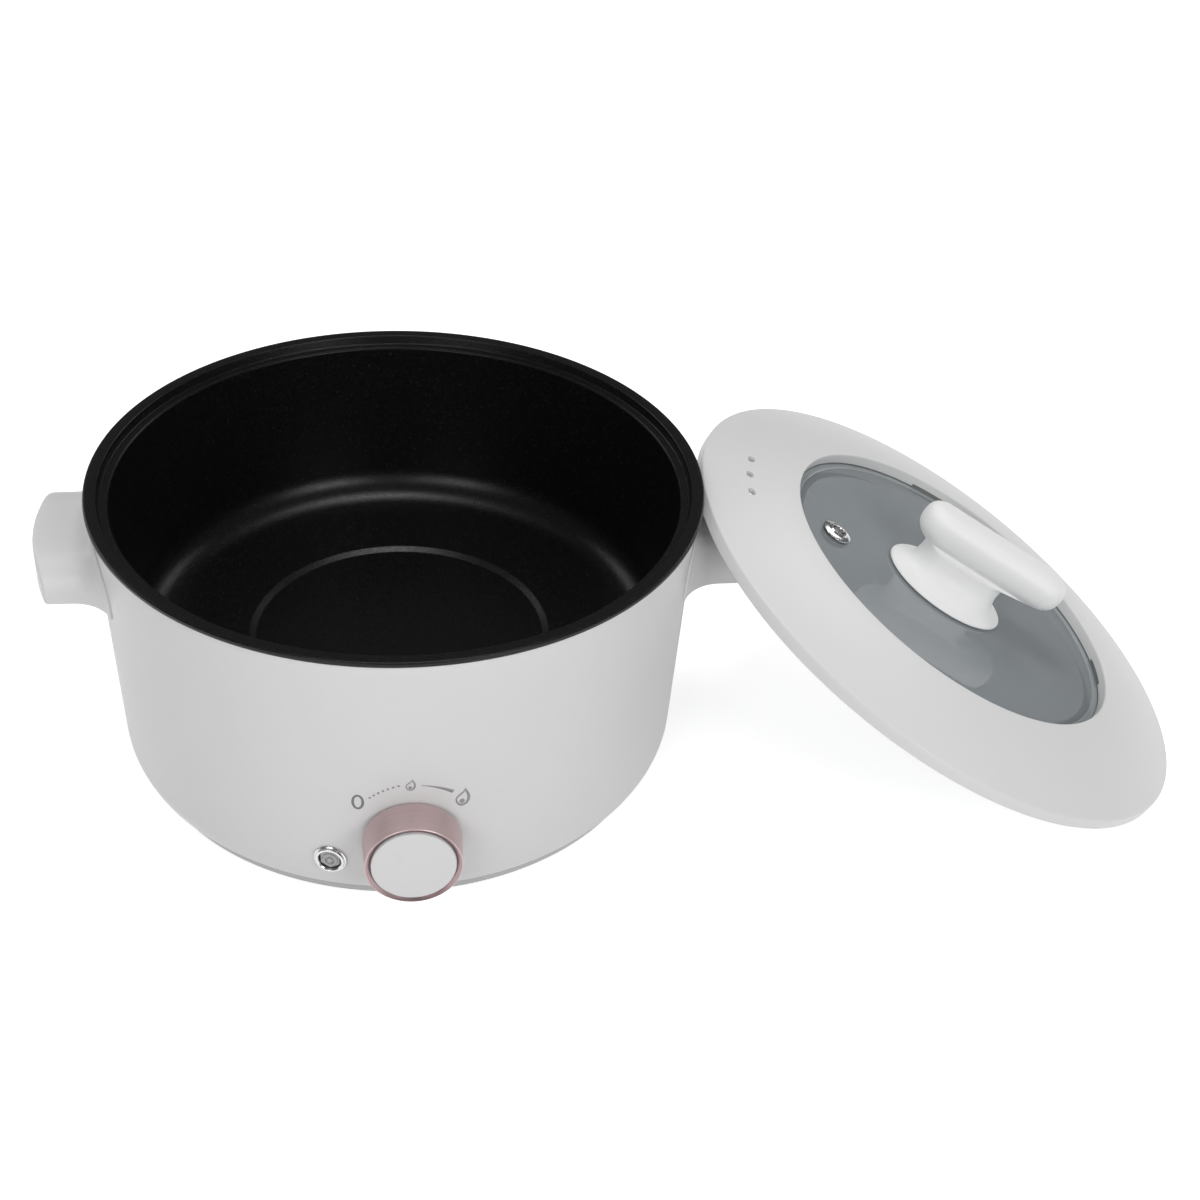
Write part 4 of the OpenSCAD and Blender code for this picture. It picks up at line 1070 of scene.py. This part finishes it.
def make_screws(name, node, body, head, shank, places):
    """Cross screws, one made and copied to each place; head and shank are each a radius and a height."""
    radius, height = head
    seat, arm, half_arm, deep = -0.05, radius * 0.55, radius * 0.12, height * 0.6
    outline = [(0, seat), (radius, seat), (radius, height * 0.4, 0.2), (radius * 0.72, height, 0.35),
               (0, height)]
    first = turned(name, outline, FEW_STEPS)
    cross = ((arm, half_arm), (half_arm, arm))
    slots = [block("slot", (-x, -y, height - deep), (x, y, height + 1)) for x, y in cross]
    for slot in slots:
        cut(first, slot)
    first = join([first, rod("shank", shank[0], (0, 0, -shank[1]), (0, 0, seat), soft=0.2)])
    copies = []
    for where in places[1:]:
        only(first)
        bpy.ops.object.duplicate()
        copies.append(place(bpy.context.object, where))
    fit(join([place(first, places[0])] + copies), body, "steel", node)


def make_all_screws():
    """The inlet's two screws, and under the lid its ring's six and the grip's one."""
    low, high = node_box("inlet_screws")
    head_r, head_h = 2.8, 1.1
    make_screws("inlet_cross_screws", "inlet_screws", "cooker", (head_r, head_h), (1.5, 7.9),
                [shift(x, high.y - head_h, (low.z + high.z) / 2) @ turn_about("X", -90)
                 for x in (low.x + head_r, high.x - head_r)])
    count, ring_r, ring_level, grip_level = 6, 104, -0.7, 1.1
    turns = [FRAME_TURN + 360 / count * (i + 0.5) for i in range(count)]
    down = turn_about("X", 180)
    make_screws("lid_ring_screws", "retaining_screws", "lid", (2.7, 1.6), (1.4, 6.2),
                [LID @ turn_about("Z", t) @ shift(ring_r, 0, ring_level) @ down for t in turns])
    make_screws("lid_grip_screw", "grip_screw", "lid", (4.2, 2.7), (2.45, 16),
                [LID @ shift(GRIP_X, 0, grip_level) @ down])


def make_inlet():
    """The inlet's housing: its CAD node's shape with rounded edges."""
    housing = soften(end(copied("inlet_housing", "inlet_socket_housing")), 0.5, angle=35, segments=2)
    fit(housing, "cooker", "black_plastic", "inlet_housing")


# ---- Making the pieces ----
shell = make_shell()
make_vessel()
make_rim_gasket()
make_base()
make_handles()
make_knob_ring()
make_knob_face()
make_lamp_pieces()
make_marks(shell)
make_lid_frame()
make_window()
make_ferrule()
make_grip()
make_all_screws()
make_inlet()

# ---- Studio ----
FLOOR_WIDTH, FLOOR_LEVEL = 14, -0.0002
# The floor's own light in the camera and reflections, and the room's light and reflection
FLOOR_LIFT = 0.7
ROOM_LIGHT, ROOM_GLOSS = 0.32, 0.13
CAMERA_AT = (-0.02315, -0.77436, 0.63235)
CAMERA_YAW, CAMERA_PITCH, CAMERA_ROLL = 8.77, 35.63, 3.31
CAMERA_LENS, SENSOR = 59.93, 36
# Each soft lamp's name, place, size and power; all point at one place
LAMPS_AIM = (0.05, 0, 0.1)
SOFTBOXES = (
    ("front_left_softbox", (-0.75, -1.45, 0.95), (0.7, 0.7), 6.7),
    ("front_right_softbox", (0.85, -1.45, 0.95), (0.7, 0.7), 9.2),
    ("back_left_softbox", (-1.2, 1.25, 1.15), (0.7, 0.7), 5.5),
    ("back_right_softbox", (1.4, 1.15, 1.15), (0.7, 0.7), 5.5),
    ("overhead_softbox", (0.1, 0.15, 1.6), (0.6, 0.5), 6),
)


def make_floor():
    """A pale floor that shows white to the camera and in reflections, and keeps a soft shadow."""
    bpy.ops.mesh.primitive_plane_add(size=FLOOR_WIDTH, location=(0, 0, FLOOR_LEVEL))
    floor = bpy.context.object
    floor.name = "studio_floor"
    made, tree, shader = new_finish("studio_floor", Base_Color=(0.8, 0.8, 0.8, 1), Roughness=0.9,
                                    Specular_IOR_Level=0.0, Emission_Color=(1, 1, 1, 1))
    rays = tree.nodes.new("ShaderNodeLightPath")
    seen = math_node(tree, "MAXIMUM", rays.outputs["Is Camera Ray"], rays.outputs["Is Glossy Ray"])
    seen = math_node(tree, "MAXIMUM", seen, rays.outputs["Is Transmission Ray"])
    feed(tree, shader, Emission_Strength=math_node(tree, "MULTIPLY", seen, FLOOR_LIFT))
    floor.data.materials.append(made)


def make_softbox(name, at, size, power):
    """A rectangular soft lamp."""
    lamp = bpy.data.lights.new(name, "AREA")
    lamp.shape = "RECTANGLE"
    lamp.size, lamp.size_y = size
    lamp.energy = power
    holder = add_object(name, lamp)
    aim = (Vector(LAMPS_AIM) - Vector(at)).to_track_quat("-Z", "Y")
    holder.matrix_world = Matrix.Translation(at) @ aim.to_matrix().to_4x4()


def make_world():
    """An even pale room: white to the camera, dimmer in what it lights and in reflections."""
    world = bpy.data.worlds.new("studio")
    bpy.context.scene.world = world
    world.use_nodes = True
    tree = world.node_tree
    rays = tree.nodes.new("ShaderNodeLightPath")
    dim = math_node(tree, "MULTIPLY_ADD", rays.outputs["Is Glossy Ray"], ROOM_GLOSS - ROOM_LIGHT, ROOM_LIGHT)
    feed(tree, tree.nodes["Background"], Color=(1, 1, 1, 1),
         Strength=math_node(tree, "MAXIMUM", dim, rays.outputs["Is Camera Ray"]))


def make_camera():
    """The camera at the photograph's place; yaw turns it right, pitch down and roll anticlockwise."""
    lens = bpy.data.cameras.new("camera")
    lens.lens, lens.sensor_width = CAMERA_LENS, SENSOR
    camera = add_object("camera", lens)
    turn = turn_about("Z", -CAMERA_YAW) @ turn_about("X", 90 - CAMERA_PITCH) @ turn_about("Z", CAMERA_ROLL)
    camera.matrix_world = Matrix.Translation(CAMERA_AT) @ turn
    bpy.context.scene.camera = camera


make_floor()
make_world()
make_camera()
for softbox in SOFTBOXES:
    make_softbox(*softbox)
bpy.context.scene.view_settings.view_transform = "Standard"
